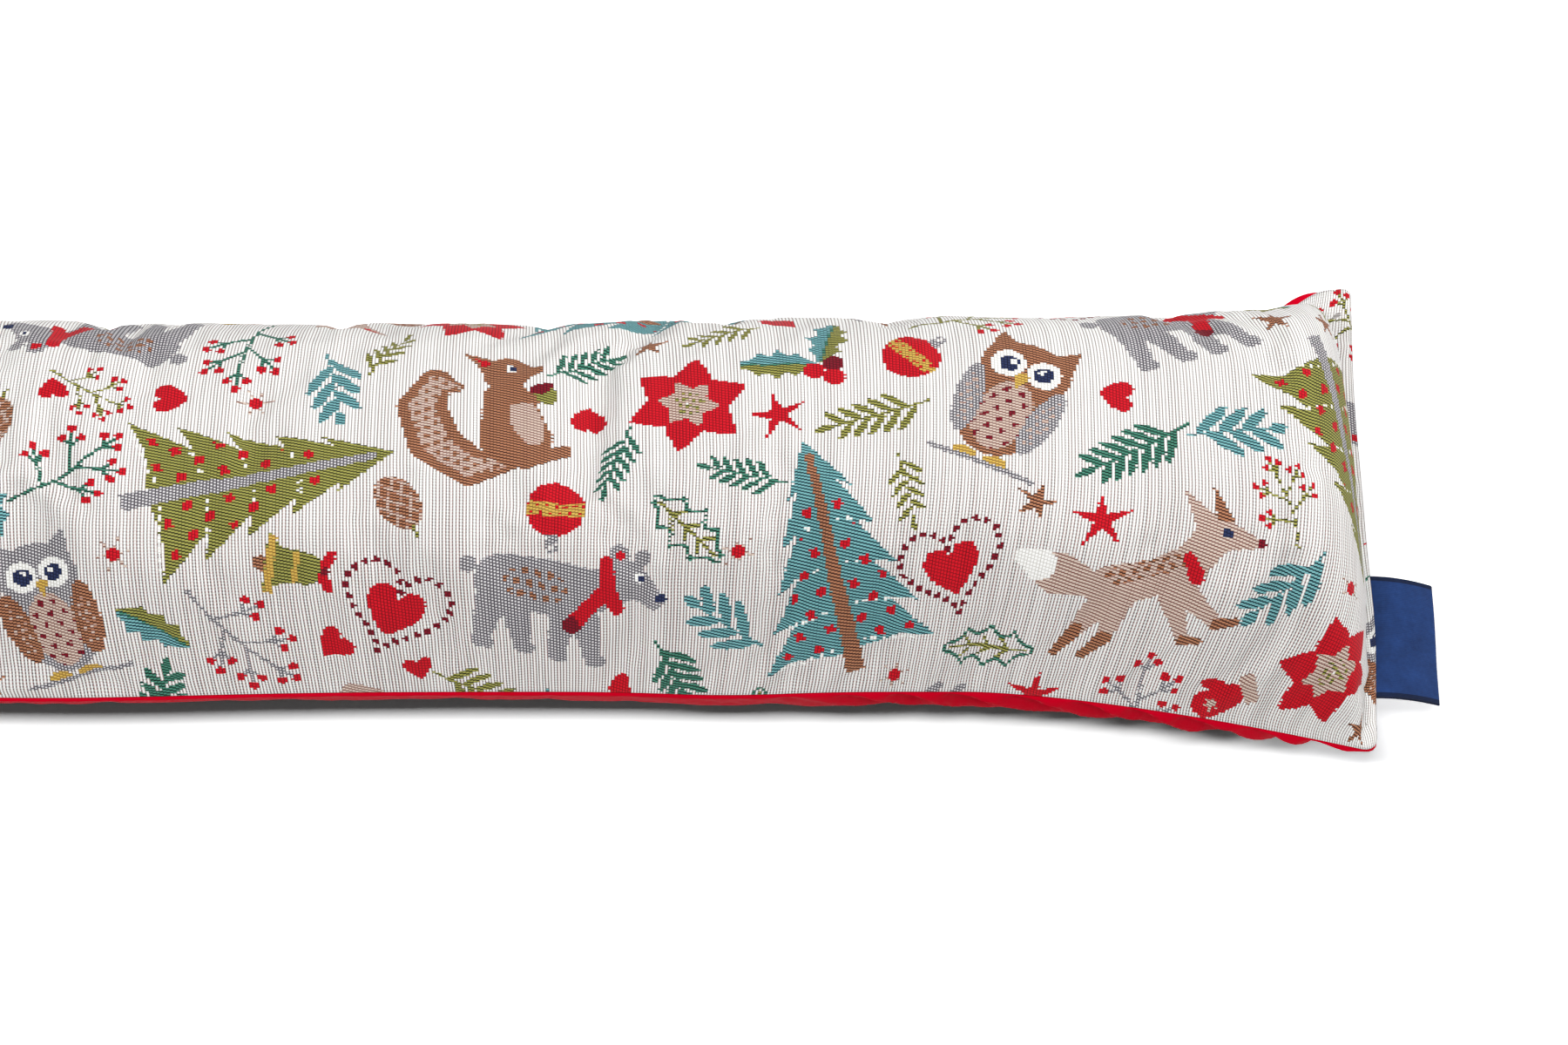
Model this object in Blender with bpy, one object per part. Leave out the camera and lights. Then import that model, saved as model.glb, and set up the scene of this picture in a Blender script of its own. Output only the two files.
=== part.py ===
"""Draught excluder: a long filled cushion that lies along the foot of a door.

Two panels, a woven front and a plain back, are sewn together all round and filled.
Each panel is built here with its own half of the filling, so the two solids meet on the
surface that joins the seams. A folded tape label is caught in the seam of one end.

The cushion lies on its back. X runs along it, towards the end with the label. Y runs
across it, from the front long seam to the rear one. Z is up, and the cushion rests on
z = 0. Lengths are in metres.
"""

import math
from collections import namedtuple

import bmesh
import bpy

# The whole cushion, filled.
LENGTH = 0.890  # end seam to end seam
MID_HALF_WIDTH = 0.0712  # centre line to a long seam
CORNER_HALF_WIDTH = 0.0890  # centre line to a corner
FLARE_RUN = 0.135  # stretch at each end in which the seams run out to the corners
FLARE_POWER = 1.5
EAR_START = 0.008  # the rear corners turn up and out more suddenly, as ears
EAR_END = 0.034
EAR_SHARE = 0.60
FRONT_CORNER_ROUND = 0.0055  # the corners are turned out of the seam a little blunt
REAR_CORNER_ROUND = 0.0030
SEAM_HEIGHT = 0.0500  # long seams over the floor
FRONT_CORNER_RISE = -0.0095
REAR_CORNER_RISE = 0.0065
SEAM_THICKNESS = 0.0024  # the two cloths where they are sewn together
GAP = 0.0003  # between pieces that touch

# The filling.
CROWN_HEIGHT = 0.0520  # top of the cushion over its seams
CROWN_RISE = 0.0040  # how much fuller the cushion is towards its ends
FULLER_START = 0.100
FULLER_END = 0.330
BELLY_DEPTH = 0.0560  # what the underside would reach below the seams with no floor
FRONT_LIP = 0.0034  # flat cloth between the filling and an end seam
REAR_LIP = 0.0058
FRONT_EAR = 0.0020  # more of it in the corners
REAR_EAR = 0.0160
EAR_POWER = 5
CROWN_END_RUN = 0.028  # stretch in which the crown falls to the lip
BELLY_END_RUN = 0.062
END_POWER = 2.6
END_OUT = 0.0026  # how far the filling pushes the end wall out over its lip
ARCH_SHARE = 0.12  # the crown's section: 1 is a plain arch, 0 is boxier
MID_BELLY_POWER = 2.5  # the belly's section, boxier where it is fuller
END_BELLY_POWER = 3.2

# The gathers, where the longer back panel is eased into the seams.
GATHER_PITCH = 0.0195
GATHER_DRIFT = 1.3  # how far the pitch wanders, in radians of one gather
GATHER_DRIFT_PERIOD = 0.153
GATHER_INNER = 0.62  # share of the half width inside which the back panel is smooth
GATHER_OUTER = 0.90
GATHER_DEPTH = 0.0022
GATHER_START = 0.230  # nothing is gathered nearer to the middle than this
GATHER_FULL = 0.310
EAR_PUFF_PLACE = 0.425  # where the back panel stands out behind a rear corner
EAR_PUFF_RADIUS = 0.011
EAR_PUFF = 0.0050

# The label.
LABEL_WIDTH = 0.0450
LABEL_REACH = 0.0225
LABEL_THICKNESS = 0.0012
LABEL_CENTRE_Y = -0.0455
LABEL_DROOP = math.radians(14)
LABEL_WAVE = 0.0007
LABEL_WAVE_TURN = 4.2

# How finely the curved faces are cut.
CROWN_STRIPS = 16
BELLY_STRIPS = 6
END_STATIONS = 10
GATHER_STATION = 0.005
MIDDLE_STATION = 0.012
LIP_STATIONS = (0.0, 0.3, 0.65, 1.0)  # shares of the lip
LABEL_COLUMNS = 12
LABEL_ROWS = 5

HALF_LENGTH = LENGTH / 2
EDGE = SEAM_THICKNESS / 2

Hollow = namedtuple("Hollow", "x across along_radius across_radius depth")
HOLLOWS = (
    Hollow(x=0.000, across=-0.78, along_radius=0.016, across_radius=0.30, depth=0.0060),
    Hollow(x=0.035, across=-0.55, along_radius=0.020, across_radius=0.22, depth=-0.0015),
    Hollow(x=-0.210, across=0.35, along_radius=0.045, across_radius=0.40, depth=0.0022),
    Hollow(x=0.175, across=0.45, along_radius=0.050, across_radius=0.40, depth=0.0018),
    Hollow(x=-0.330, across=-0.60, along_radius=0.022, across_radius=0.30, depth=0.0030),
)

SeamBow = namedtuple("SeamBow", "x radius out")
SEAM_BOWS = (  # slack places where the front seam hangs out of line
    SeamBow(x=0.005, radius=0.070, out=0.0024),
    SeamBow(x=0.230, radius=0.028, out=0.0013),
    SeamBow(x=-0.260, radius=0.050, out=0.0018),
)

Swell = namedtuple("Swell", "period height phase")
SWELLS = (
    Swell(period=0.310, height=0.0009, phase=0.4),
    Swell(period=0.173, height=0.0007, phase=1.9),
    Swell(period=0.097, height=0.0004, phase=4.1),
)

Finish = namedtuple("Finish", "colour roughness")
TAPESTRY = Finish(colour=(0.78, 0.72, 0.62), roughness=0.85)
RED_CLOTH = Finish(colour=(0.52, 0.008, 0.020), roughness=0.55)
NAVY_TAPE = Finish(colour=(0.016, 0.045, 0.160), roughness=0.60)


def ease(value, start, end):
    """0 up to start and 1 from end on, with a smooth ramp between them."""
    share = min(max((value - start) / (end - start), 0.0), 1.0)
    return share * share * (3 - 2 * share)


def mix(first, second, share):
    return first + (second - first) * share


def end_distance(x):
    return HALF_LENGTH - abs(x)


def fullness(x):
    return ease(abs(x), FULLER_START, FULLER_END)


def front_flare(x):
    """0 along the middle of the front seam, 1 at its corners."""
    return max(1 - end_distance(x) / FLARE_RUN, 0.0) ** FLARE_POWER


def rear_flare(x):
    ear = 1 - ease(end_distance(x), EAR_START, EAR_END)
    return mix(front_flare(x), ear, EAR_SHARE)


def half_width(x, t):
    """Centre line to the front seam for t under 0, or to the rear seam."""
    flare = rear_flare(x) if t > 0 else front_flare(x)
    width = mix(MID_HALF_WIDTH, CORNER_HALF_WIDTH, flare)
    corner_round = REAR_CORNER_ROUND if t > 0 else FRONT_CORNER_ROUND
    into_corner = max(1 - end_distance(x) / corner_round, 0.0)
    width -= corner_round * (1 - math.sqrt(1 - into_corner**2))
    if t < 0:
        width += sum(b.out * math.exp(-(((x - b.x) / b.radius) ** 2)) for b in SEAM_BOWS)
    return width


def seam_height(x, t):
    """Height of the surface that joins the long seams, t = -1 in front to 1 at the rear."""
    front = SEAM_HEIGHT + FRONT_CORNER_RISE * front_flare(x)
    rear = SEAM_HEIGHT + REAR_CORNER_RISE * rear_flare(x)
    return mix(front, rear, (t + 1) / 2)


def near_lip(x, t, run):
    """1 on the flat lip, falling to 0 where the filling has its full height."""
    lip = mix(FRONT_LIP, REAR_LIP, (t + 1) / 2)
    lip += (REAR_EAR if t > 0 else FRONT_EAR) * abs(t) ** EAR_POWER
    return 1 - min(max((end_distance(x) - lip) / run, 0.0), 1.0)


def filling(x, t, run):
    """Share of its full height that the filling has here: it ends steeply at the lip."""
    return math.sqrt(1 - near_lip(x, t, run) ** END_POWER)


def crown_height(x, t):
    arch = ARCH_SHARE * (1 - t**2) + (1 - ARCH_SHARE) * (1 - t**4)
    swell = sum(s.height * math.cos(math.tau * x / s.period + s.phase) for s in SWELLS)
    full = CROWN_HEIGHT + CROWN_RISE * fullness(x) + swell
    return (full * arch - hollow_depth(x, t)) * filling(x, t, CROWN_END_RUN)


def hollow_depth(x, t):
    depth = 0.0
    for hollow in HOLLOWS:
        along = (x - hollow.x) / hollow.along_radius
        across = (t - hollow.across) / hollow.across_radius
        depth += hollow.depth * math.exp(-(along**2) - across**2)
    return depth * (1 - t**6)


def gather(x, t):
    """How far the back panel stands out in its gathers, which fade out under the seams."""
    strength = ease(abs(x), GATHER_START, GATHER_FULL) * ease(end_distance(x), 0.0, FRONT_LIP)
    drift = GATHER_DRIFT * math.sin(math.tau * x / GATHER_DRIFT_PERIOD)
    turn = math.tau * x / GATHER_PITCH + math.copysign(drift, t)
    near_seam = ease(abs(t), GATHER_INNER, GATHER_OUTER)
    out = GATHER_DEPTH * strength * math.cos(turn)
    if t > 0:
        out += EAR_PUFF * math.exp(-(((abs(x) - EAR_PUFF_PLACE) / EAR_PUFF_RADIUS) ** 2))
    return out * near_seam


def pushed_out(x, t):
    """Where the end wall's cloth lies, once the filling has pushed it out over the lip."""
    wall = filling(x, t, CROWN_END_RUN) * near_lip(x, t, CROWN_END_RUN) ** 2
    return x + math.copysign(END_OUT * wall * (1 - t**4), x)


def crown_section(x):
    """The front panel's outline across the cushion, from the front seam to the rear one."""
    points = []
    for strip in range(CROWN_STRIPS + 1):
        angle = math.pi * (strip / CROWN_STRIPS - 0.5)
        t = math.sin(angle)
        height = seam_height(x, t) + EDGE + crown_height(x, t)
        points.append((pushed_out(x, t), half_width(x, t) * t, height))
    return points


def belly_section(x):
    """The back panel's outline, from the front seam down to the floor and up again."""
    power = mix(MID_BELLY_POWER, END_BELLY_POWER, fullness(x))
    flat = (1 - (SEAM_HEIGHT - EDGE) / BELLY_DEPTH) ** (1 / power)
    side = [
        flat + (1 - flat) * math.sin(math.pi / 2 * strip / BELLY_STRIPS)
        for strip in range(BELLY_STRIPS + 1)
    ]
    points = []
    for t in [-t for t in reversed(side)] + side:
        filled = filling(x, t, BELLY_END_RUN)
        depth = BELLY_DEPTH * filled * (1 - abs(t) ** power)
        bulge = max(math.sin(math.pi * (abs(t) - flat) / (1 - flat)), 0.0) * filled
        y = half_width(x, t) * t + math.copysign(gather(x, t) * bulge, t)
        points.append((x, y, max(seam_height(x, t) - EDGE - depth, 0.0)))
    return points


def closed_loop(outline, x, side):
    """Closes an outline along the surface where the two panels meet."""
    rim = [(x, half_width(x, t) * t, seam_height(x, t) + side * GAP / 2) for t in (1, -1)]
    return outline + rim


def stations():
    """Places along the cushion where a section is cut, close together where it curves."""
    steps = [share * FRONT_LIP for share in LIP_STATIONS]
    for station in range(1, END_STATIONS + 1):
        angle = math.pi / 2 * station / END_STATIONS
        steps.append(FRONT_LIP + CROWN_END_RUN * (1 - math.cos(angle)))
    while HALF_LENGTH - steps[-1] > GATHER_START:
        steps.append(steps[-1] + GATHER_STATION)
    middle = HALF_LENGTH - steps[-1]
    count = round(middle / MIDDLE_STATION)
    right = [HALF_LENGTH - step for step in steps]
    right += [middle * (1 - (i + 1) / count) for i in range(count - 1)]
    return [-x for x in right] + [0.0] + right[::-1]


def new_material(name, finish):
    material = bpy.data.materials.new(name)
    material.use_nodes = True
    shader = material.node_tree.nodes["Principled BSDF"]
    shader.inputs["Base Color"].default_value = (*finish.colour, 1)
    shader.inputs["Roughness"].default_value = finish.roughness
    shader.inputs["Metallic"].default_value = 0.0
    return material


def loft(name, loops, finish):
    """A closed solid through loops that all have the same number of points."""
    shape = bmesh.new()
    rings = [[shape.verts.new(point) for point in loop] for loop in loops]
    for ring, after in zip(rings, rings[1:]):
        for i in range(len(ring)):
            j = (i + 1) % len(ring)
            shape.faces.new((ring[i], ring[j], after[j], after[i]))
    shape.faces.new(rings[0])
    shape.faces.new(rings[-1])
    bmesh.ops.recalc_face_normals(shape, faces=shape.faces)
    mesh = bpy.data.meshes.new(name)
    shape.to_mesh(mesh)
    shape.free()
    mesh.shade_smooth()
    mesh.set_sharp_from_angle(angle=math.radians(50))
    mesh.materials.append(new_material(name, finish))
    piece = bpy.data.objects.new(name, mesh)
    bpy.context.scene.collection.objects.link(piece)
    return piece


def front_panel():
    loops = [closed_loop(crown_section(x), x, 1) for x in stations()]
    return loft("front_panel", loops, TAPESTRY)


def back_panel():
    loops = [closed_loop(belly_section(x), x, -1) for x in stations()]
    return loft("back_panel", loops, RED_CLOTH)


def label():
    """The tape stands out of the end seam, droops a little and waves along its edge."""
    loops = []
    for column in range(LABEL_COLUMNS + 1):
        along = column / LABEL_COLUMNS * 2 - 1
        y = LABEL_CENTRE_Y + along * LABEL_WIDTH / 2
        root = seam_height(HALF_LENGTH, y / CORNER_HALF_WIDTH)
        upper = []
        for row in range(LABEL_ROWS + 1):
            share = row / LABEL_ROWS
            out = LABEL_REACH * share
            wave = LABEL_WAVE * math.sin(LABEL_WAVE_TURN * along) * share**1.5
            drop = out * math.sin(LABEL_DROOP * share)
            x = HALF_LENGTH + GAP + out * math.cos(LABEL_DROOP)
            upper.append((x, y, root - drop + wave + LABEL_THICKNESS / 2))
        lower = [(x, y, z - LABEL_THICKNESS) for x, y, z in reversed(upper)]
        loops.append(upper + lower)
    return loft("label", loops, NAVY_TAPE)


def main():
    for thing in list(bpy.data.objects):
        bpy.data.objects.remove(thing)
    front_panel()
    back_panel()
    label()


main()
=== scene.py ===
# %% [markdown]
# # A draught excluder
#
# A draught excluder is a long, narrow cushion that lies along the foot of a door. This one has a
# tapestry front, a plain red back and a tape label in the seam of one end. The cloth's shape, the
# chart of its pattern and the crossing of its threads are all computed here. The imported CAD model
# comes first: it fixes sizes and names, and finer cloth later replaces each of its solids.

# %% The fixed frame
import math

import bpy
import numpy as np
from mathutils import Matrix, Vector


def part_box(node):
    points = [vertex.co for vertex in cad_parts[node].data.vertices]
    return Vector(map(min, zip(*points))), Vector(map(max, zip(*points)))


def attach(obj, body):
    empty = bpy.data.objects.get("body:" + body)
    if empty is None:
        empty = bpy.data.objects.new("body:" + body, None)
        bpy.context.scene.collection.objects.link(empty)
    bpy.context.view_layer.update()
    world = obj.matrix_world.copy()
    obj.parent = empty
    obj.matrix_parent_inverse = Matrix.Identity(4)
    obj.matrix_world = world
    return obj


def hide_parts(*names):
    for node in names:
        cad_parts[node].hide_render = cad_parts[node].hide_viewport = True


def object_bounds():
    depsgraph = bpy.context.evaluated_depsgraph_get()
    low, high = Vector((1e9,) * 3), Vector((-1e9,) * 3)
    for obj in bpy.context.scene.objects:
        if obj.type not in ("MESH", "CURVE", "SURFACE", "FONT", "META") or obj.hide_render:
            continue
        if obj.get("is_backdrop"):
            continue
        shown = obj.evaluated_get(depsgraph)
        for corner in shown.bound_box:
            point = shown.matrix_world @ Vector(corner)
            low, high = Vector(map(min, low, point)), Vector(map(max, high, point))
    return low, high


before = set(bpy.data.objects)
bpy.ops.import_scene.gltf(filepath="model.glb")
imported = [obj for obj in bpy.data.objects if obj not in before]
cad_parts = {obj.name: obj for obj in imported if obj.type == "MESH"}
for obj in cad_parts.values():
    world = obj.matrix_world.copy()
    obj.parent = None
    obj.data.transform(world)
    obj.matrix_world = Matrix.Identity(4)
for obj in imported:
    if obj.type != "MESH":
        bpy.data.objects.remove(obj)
cad_box = [list(corner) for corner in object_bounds()]
front_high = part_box("front_panel")[1]
label_low, label_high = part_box("label")
print("CAD box in metres:", [[round(v, 4) for v in corner] for corner in cad_box])

# %% [markdown]
# The camera comes next, since each choice of detail depends on how near it is. The photograph
# looks down from the front at 56 degrees, from about two metres with a long lens, and shows only
# the right-hand half. The focal length follows from the scale, measured where the camera aims.

# %% The camera
IMAGE_WIDTH = 1800  # pixels of the photograph
SENSOR_WIDTH = 36  # mm
PIXELS_TO_A_METRE = 3400.0
CAMERA_HEIGHT = math.radians(56)
CAMERA_DISTANCE = 1.90
AIM = Vector((0.2494, 0.0, 0.0452))


def put_in_scene(name, data, place=(0, 0, 0), aim=None):
    """A new object in the scene. With an aim, its -Z axis looks at that point."""
    piece = bpy.data.objects.new(name, data)
    bpy.context.scene.collection.objects.link(piece)
    piece.location = place
    if aim:
        piece.rotation_euler = (Vector(aim) - Vector(place)).to_track_quat("-Z", "Y").to_euler()
    return piece


view_direction = Vector((0, math.cos(CAMERA_HEIGHT), -math.sin(CAMERA_HEIGHT)))
lens = bpy.data.cameras.new("camera")
lens.sensor_width = SENSOR_WIDTH
lens.lens = SENSOR_WIDTH * PIXELS_TO_A_METRE * CAMERA_DISTANCE / IMAGE_WIDTH
lens.clip_start = 0.05
bpy.context.scene.camera = put_in_scene("camera", lens, AIM - CAMERA_DISTANCE * view_direction, AIM)
print("lens of", round(lens.lens, 1), "mm")

# %% [markdown]
# Shaders are wired by a few helpers. `add` makes a node and sets or links its inputs. A Wire is
# an output that can be reckoned with like a number: each step adds a Math node, so that a
# material reads like the formula that it is.

# %% Wiring helpers
class Wire:
    """A node's output. Arithmetic on it adds Math nodes."""

    def __init__(self, socket):
        self.socket = socket
        self.tree = socket.id_data

    def __add__(self, other):
        return calc("ADD", self, other)

    def __sub__(self, other):
        return calc("SUBTRACT", self, other)

    def __rsub__(self, other):
        return calc("SUBTRACT", other, self)

    def __mul__(self, other):
        return calc("MULTIPLY", self, other)


def plug(socket, value):
    """Sets an input, or links it to a wire."""
    value = getattr(value, "socket", value)
    if isinstance(value, bpy.types.NodeSocket):
        socket.id_data.links.new(value, socket)
    else:
        colour = isinstance(value, tuple) and len(value) == 3
        socket.default_value = (*value, 1) if colour else value


def add(tree, kind, output, inputs=None, **properties):
    """A new node, or the wire of one of its outputs."""
    node = tree.nodes.new("ShaderNode" + kind)
    for name, value in properties.items():
        setattr(node, name, value)
    for name, value in (inputs or {}).items():
        plug(node.inputs[name], value)
    return node if output is None else Wire(node.outputs[output])


def calc(operation, *values):
    """A Math node, in the tree that its wires belong to."""
    tree = next(value.tree for value in values if isinstance(value, Wire))
    return add(tree, "Math", 0, dict(enumerate(values)), operation=operation)


def ramp_up(value, start, end):
    """0 before start and 1 past end, smooth between."""
    inputs = {"Value": value, "From Min": start, "From Max": end}
    return add(value.tree, "MapRange", "Result", inputs, interpolation_type="SMOOTHSTEP")


def new_principled(name, **settings):
    """A material, its node tree and its shader. A _ in a setting's name stands for a blank."""
    material = bpy.data.materials.new(name)
    material.use_nodes = True
    shader = material.node_tree.nodes["Principled BSDF"]
    for label, value in settings.items():
        plug(shader.inputs[label.replace("_", " ")], value)
    return material, material.node_tree, shader


# %% [markdown]
# The shadow tells where the light was. It is only a narrow dark line under the front edge, so
# some light came from the front, a little steeper than the camera looks. The top is brighter
# than the front slope, so more came from above and behind. A small light on the right brightens
# the end, and a faint world light fills in the rest. The Standard view transform keeps whites
# white, where Filmic or AgX would turn them grey.
#
# The white table and the wall were brightened afterwards. Materials do the same here for camera
# rays alone, so that what they throw onto the cloth stays the light of a real room. Far from the
# lamps the table would go grey, so there it glows white for the camera.

# %% The studio
FLOOR_HALF = 4.0
GLOW_FROM, GLOW_TO = 0.75, 1.50  # metres from the cushion's middle where the glow takes over
BRIGHTENED = (1.60, 1.60, 1.60)
WORLD_STRENGTHS = (0.08, 1.0)  # as light, and as the camera sees it
LAMPS = (  # name, place, aim, size, watts
    ("back_light", (0.5, 1.20, 1.55), (0.5, 0.0, 0.05), (2.0, 0.7), 17),
    ("front_light", (-0.12, -0.93, 1.85), (-0.12, 0.0, 0.05), (1.1, 0.20), 32.5),
    ("right_fill", (1.75, 0.45, 0.85), (0.4, 0.0, 0.05), (0.5, 0.9), 13),
)


def seen_as(tree, lighting, shown, target):
    """Gives a material or the world one shader for light and another for camera rays."""
    from_camera = add(tree, "LightPath", "Is Camera Ray")
    mixed = add(tree, "MixShader", 0, {0: from_camera, 1: lighting, 2: shown})
    plug(target.inputs["Surface"], mixed)


floor_mesh = bpy.data.meshes.new("table_top")
floor_corners = [(-1, -1), (1, -1), (1, 1), (-1, 1)]
floor_mesh.from_pydata([(FLOOR_HALF * x, FLOOR_HALF * y, 0) for x, y in floor_corners], [], [(0, 1, 2, 3)])
floor = put_in_scene("table_top", floor_mesh)
floor_paint, tree, shader = new_principled(
    "white_table", Base_Color=(0.93, 0.93, 0.93), Roughness=0.6, Specular_IOR_Level=0.1
)
place = add(tree, "TexCoord", "Object")
distance = add(tree, "VectorMath", "Value", {0: place}, operation="LENGTH")
white_glow = add(tree, "Emission", 0, {"Strength": ramp_up(distance, GLOW_FROM, GLOW_TO)})
brightened = add(tree, "BsdfDiffuse", 0, {"Color": BRIGHTENED})
lit_floor = add(tree, "AddShader", 0, {0: brightened, 1: white_glow})
seen_as(tree, shader.outputs[0], lit_floor, tree.nodes["Material Output"])
floor_mesh.materials.append(floor_paint)
floor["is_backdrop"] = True

world = bpy.data.worlds.new("white_studio")
bpy.context.scene.world = world
world.use_nodes = True
tree = world.node_tree
dim, white_wall = (
    add(tree, "Background", 0, {"Color": (1.0, 1.0, 1.0), "Strength": strength})
    for strength in WORLD_STRENGTHS
)
seen_as(tree, dim, white_wall, tree.nodes["World Output"])
for name, place, aim, size, watts in LAMPS:
    light = bpy.data.lights.new(name, "AREA")
    light.shape = "RECTANGLE"
    light.size, light.size_y = size
    light.energy = watts
    put_in_scene(name, light, place, aim)
bpy.context.scene.view_settings.view_transform = "Standard"
print("lamps:", [name for name, *_ in LAMPS])

# %% [markdown]
# ## The chart of the tapestry
#
# The front is a jacquard tapestry: the loom lifts single warp threads, so a motif is built up
# from cells, one rib of the cloth wide and one weft pick high. A designer draws it on squared
# paper. A photograph pasted on the mesh would be quicker, but it would blur close up and carry
# someone's picture. Here numpy draws the chart with plain geometry, one yarn number to a square,
# and the stepped edges of real weaving come with it.

# %% Squared paper
RIB = 0.00106  # width of one rib of the tapestry
PICK = 0.000726  # height of one weft pick
RIBS = 900  # along the panel
PICKS = 276  # across it
REPEAT_RIBS = RIBS // 2  # the pattern comes twice along the panel
STAGGER = 0.12  # share of a rib by which odd and even picks are set off, for ragged edges

YARN_LOOKS = {  # top, under, rib_gap, pick_gap and float_run, explained where they are used; the under colour is partly painted shade
    "ground": ((246, 246, 244), (180, 174, 170), 0.40, 0.05, 0.0),
    "red": ((212, 18, 36), (112, 8, 20), 0.20, 0.20, 0.4),
    "maroon": ((132, 20, 38), (60, 12, 22), 0.20, 0.25, 0.6),
    "olive": ((164, 162, 82), (24, 26, 18), 0.06, 0.42, 1.0),
    "teal": ((122, 184, 188), (16, 40, 50), 0.06, 0.44, 1.0),
    "green": ((74, 140, 118), (12, 34, 30), 0.08, 0.44, 1.0),
    "grey": ((222, 220, 222), (92, 88, 94), 0.42, 0.46, 0.5),
    "brown": ((188, 128, 94), (60, 34, 28), 0.10, 0.46, 1.0),
    "tan": ((218, 200, 186), (126, 82, 74), 0.10, 0.42, 0.9),
    "navy": ((44, 54, 92), (18, 22, 42), 0.20, 0.25, 0.6),
    "white": ((251, 251, 249), (205, 202, 196), 0.25, 0.20, 0.3),
    "gold": ((214, 178, 84), (128, 88, 44), 0.10, 0.30, 1.0),
}
YARNS = list(YARN_LOOKS)

rib_number, pick_number = np.meshgrid(np.arange(REPEAT_RIBS), np.arange(PICKS), indexing="ij")
paper_x = (rib_number + 0.5 + STAGGER * (1 - 2 * (pick_number % 2))) * RIB
paper_y = (pick_number + 0.5) * PICK
paper = np.zeros(paper_x.shape, dtype=int)
print("paper of", paper.shape, "cells for", round(REPEAT_RIBS * RIB, 3), "m of cloth")


# %% [markdown]
# A motif is a function of p and q, a cell's place in the motif's own frame, where q points up and
# the motif reaches about 1 from its middle. It yields masks and their yarns, and a later mask
# covers an earlier one. All are ordinary winter figures made of a few simple shapes, and none
# follows a drawing by someone else.

# %% Shapes that motifs are made of
def turned(p, q, degrees):
    """Places as seen from a frame that is turned to the left."""
    c, s = math.cos(math.radians(degrees)), math.sin(math.radians(degrees))
    return p * c + q * s, q * c - p * s


def oval(p, q, x, y, wide, high, turn=0.0):
    along, up = turned(p - x, q - y, turn)
    return (along / wide) ** 2 + (up / high) ** 2 < 1


def box(p, q, x, y, wide, high):
    return (np.abs(p - x) < wide) & (np.abs(q - y) < high)


def limb(p, q, *joints):
    """A chain of tapered limbs through joints, each of them x, y and radius."""
    inside = np.zeros(p.shape, dtype=bool)
    joints = np.reshape(joints, (-1, 3))
    for (x0, y0, r0), (x1, y1, r1) in zip(joints, joints[1:]):
        dx, dy = x1 - x0, y1 - y0
        share = np.clip(((p - x0) * dx + (q - y0) * dy) / (dx * dx + dy * dy), 0, 1)
        away = np.hypot(p - x0 - share * dx, q - y0 - share * dy)
        inside |= away < r0 + (r1 - r0) * share
    return inside


def polygon(p, q, *corners):
    inside = np.zeros(p.shape, dtype=bool)
    corners = np.reshape(corners, (-1, 2))
    for (x0, y0), (x1, y1) in zip(corners, np.roll(corners, -1, axis=0)):
        if y0 != y1:
            crosses = (q < y0) != (q < y1)
            inside ^= crosses & (p < x0 + (q - y0) * (x1 - x0) / (y1 - y0))
    return inside


def flecks(p, q, across, up, size, shift=0):
    """A staggered grid of small squares."""
    q = q + shift
    row = np.floor(q / up)
    column = p / across + (row % 2) / 2
    return box(column - np.floor(column), q / up - row, 0.5, 0.5, size / across, size / up)


SHAPES = {shape.__name__: shape for shape in (oval, box, limb, polygon, flecks)}


def from_notes(notes, **usual):
    """A motif from lines of notes: a yarn, then one shape or more that all have to cover a cell.

    A | before a shape mirrors it. A yarn may be a name that the motif's look gives a yarn to.
    """
    def motif(p, q, **look):
        yarns = {**usual, **look}
        for line in notes.strip().splitlines():
            yarn, shapes = line.split(maxsplit=1)
            masks = []
            for shape, *numbers in map(str.split, shapes.split("&")):
                side = np.abs(p) if shape[0] == "|" else p
                masks.append(SHAPES[shape.strip("|")](side, q, *map(float, numbers)))
            yield np.all(masks, axis=0), yarns.get(yarn, yarn)

    return motif


# %% [markdown]
# A fir is one half outline with a spike for each tier, mirrored by taking the absolute value of
# p. Holly takes its points from a sine whose sign is dropped. Each branch of the berry twig
# forks into three berries.

# %% Firs, leaves and twigs
def fir(p, q, leaf, trunk, tiers=5):
    side = np.abs(p)
    edge = [(0, 1.0)]
    rows = []
    for tier in range(tiers):
        low = 0.52 - 1.42 * tier / (tiers - 1)
        wide = 0.27 + 0.45 * tier / (tiers - 1)
        edge += [(wide, low - 0.04), (wide * 0.60, low + 0.05)]
        rows.append(np.abs(q - low - 0.10 + side * 0.20) < 0.013)
    yield polygon(side, q, *edge, (0, low)), leaf
    body = side < 0.58 * (0.95 - q) / 1.7 - 0.04
    yield np.any(rows, axis=0) & body & (side > 0.10) & (np.floor(p * 24) % 2 == 0), "white"
    lights = flecks(p, q, 0.25, 0.165, 0.037, 0.05)
    yield lights & body & (side > 0.09) & (q > -0.82) & (q < 0.7), "red"
    yield (side < 0.028 + 0.022 * (1 - q)) & (q > -1.10) & (q < 0.86), trunk


def sprig(p, q, leaf, pairs=6, reach=0.56, fat=0.066, lean=46):
    yield limb(p, q, 0.05, -1.0, 0.026, 0, -0.2, 0.026, 0, 0.9, 0.022), leaf
    angle = math.radians(lean)
    for pair in range(pairs):
        for side in (-1, 1):
            length = reach * (1 - 0.35 * pair / pairs)
            base = -0.68 + 1.4 * (pair + 0.22 * side) / pairs
            tip_x = side * length * math.sin(angle)
            tip_y = base + length * math.cos(angle)
            yield oval(p, q, tip_x / 2, (base + tip_y) / 2, fat, length / 1.85, -side * lean), leaf
    yield oval(p, q, 0, 0.86, fat, 0.18), leaf


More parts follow.
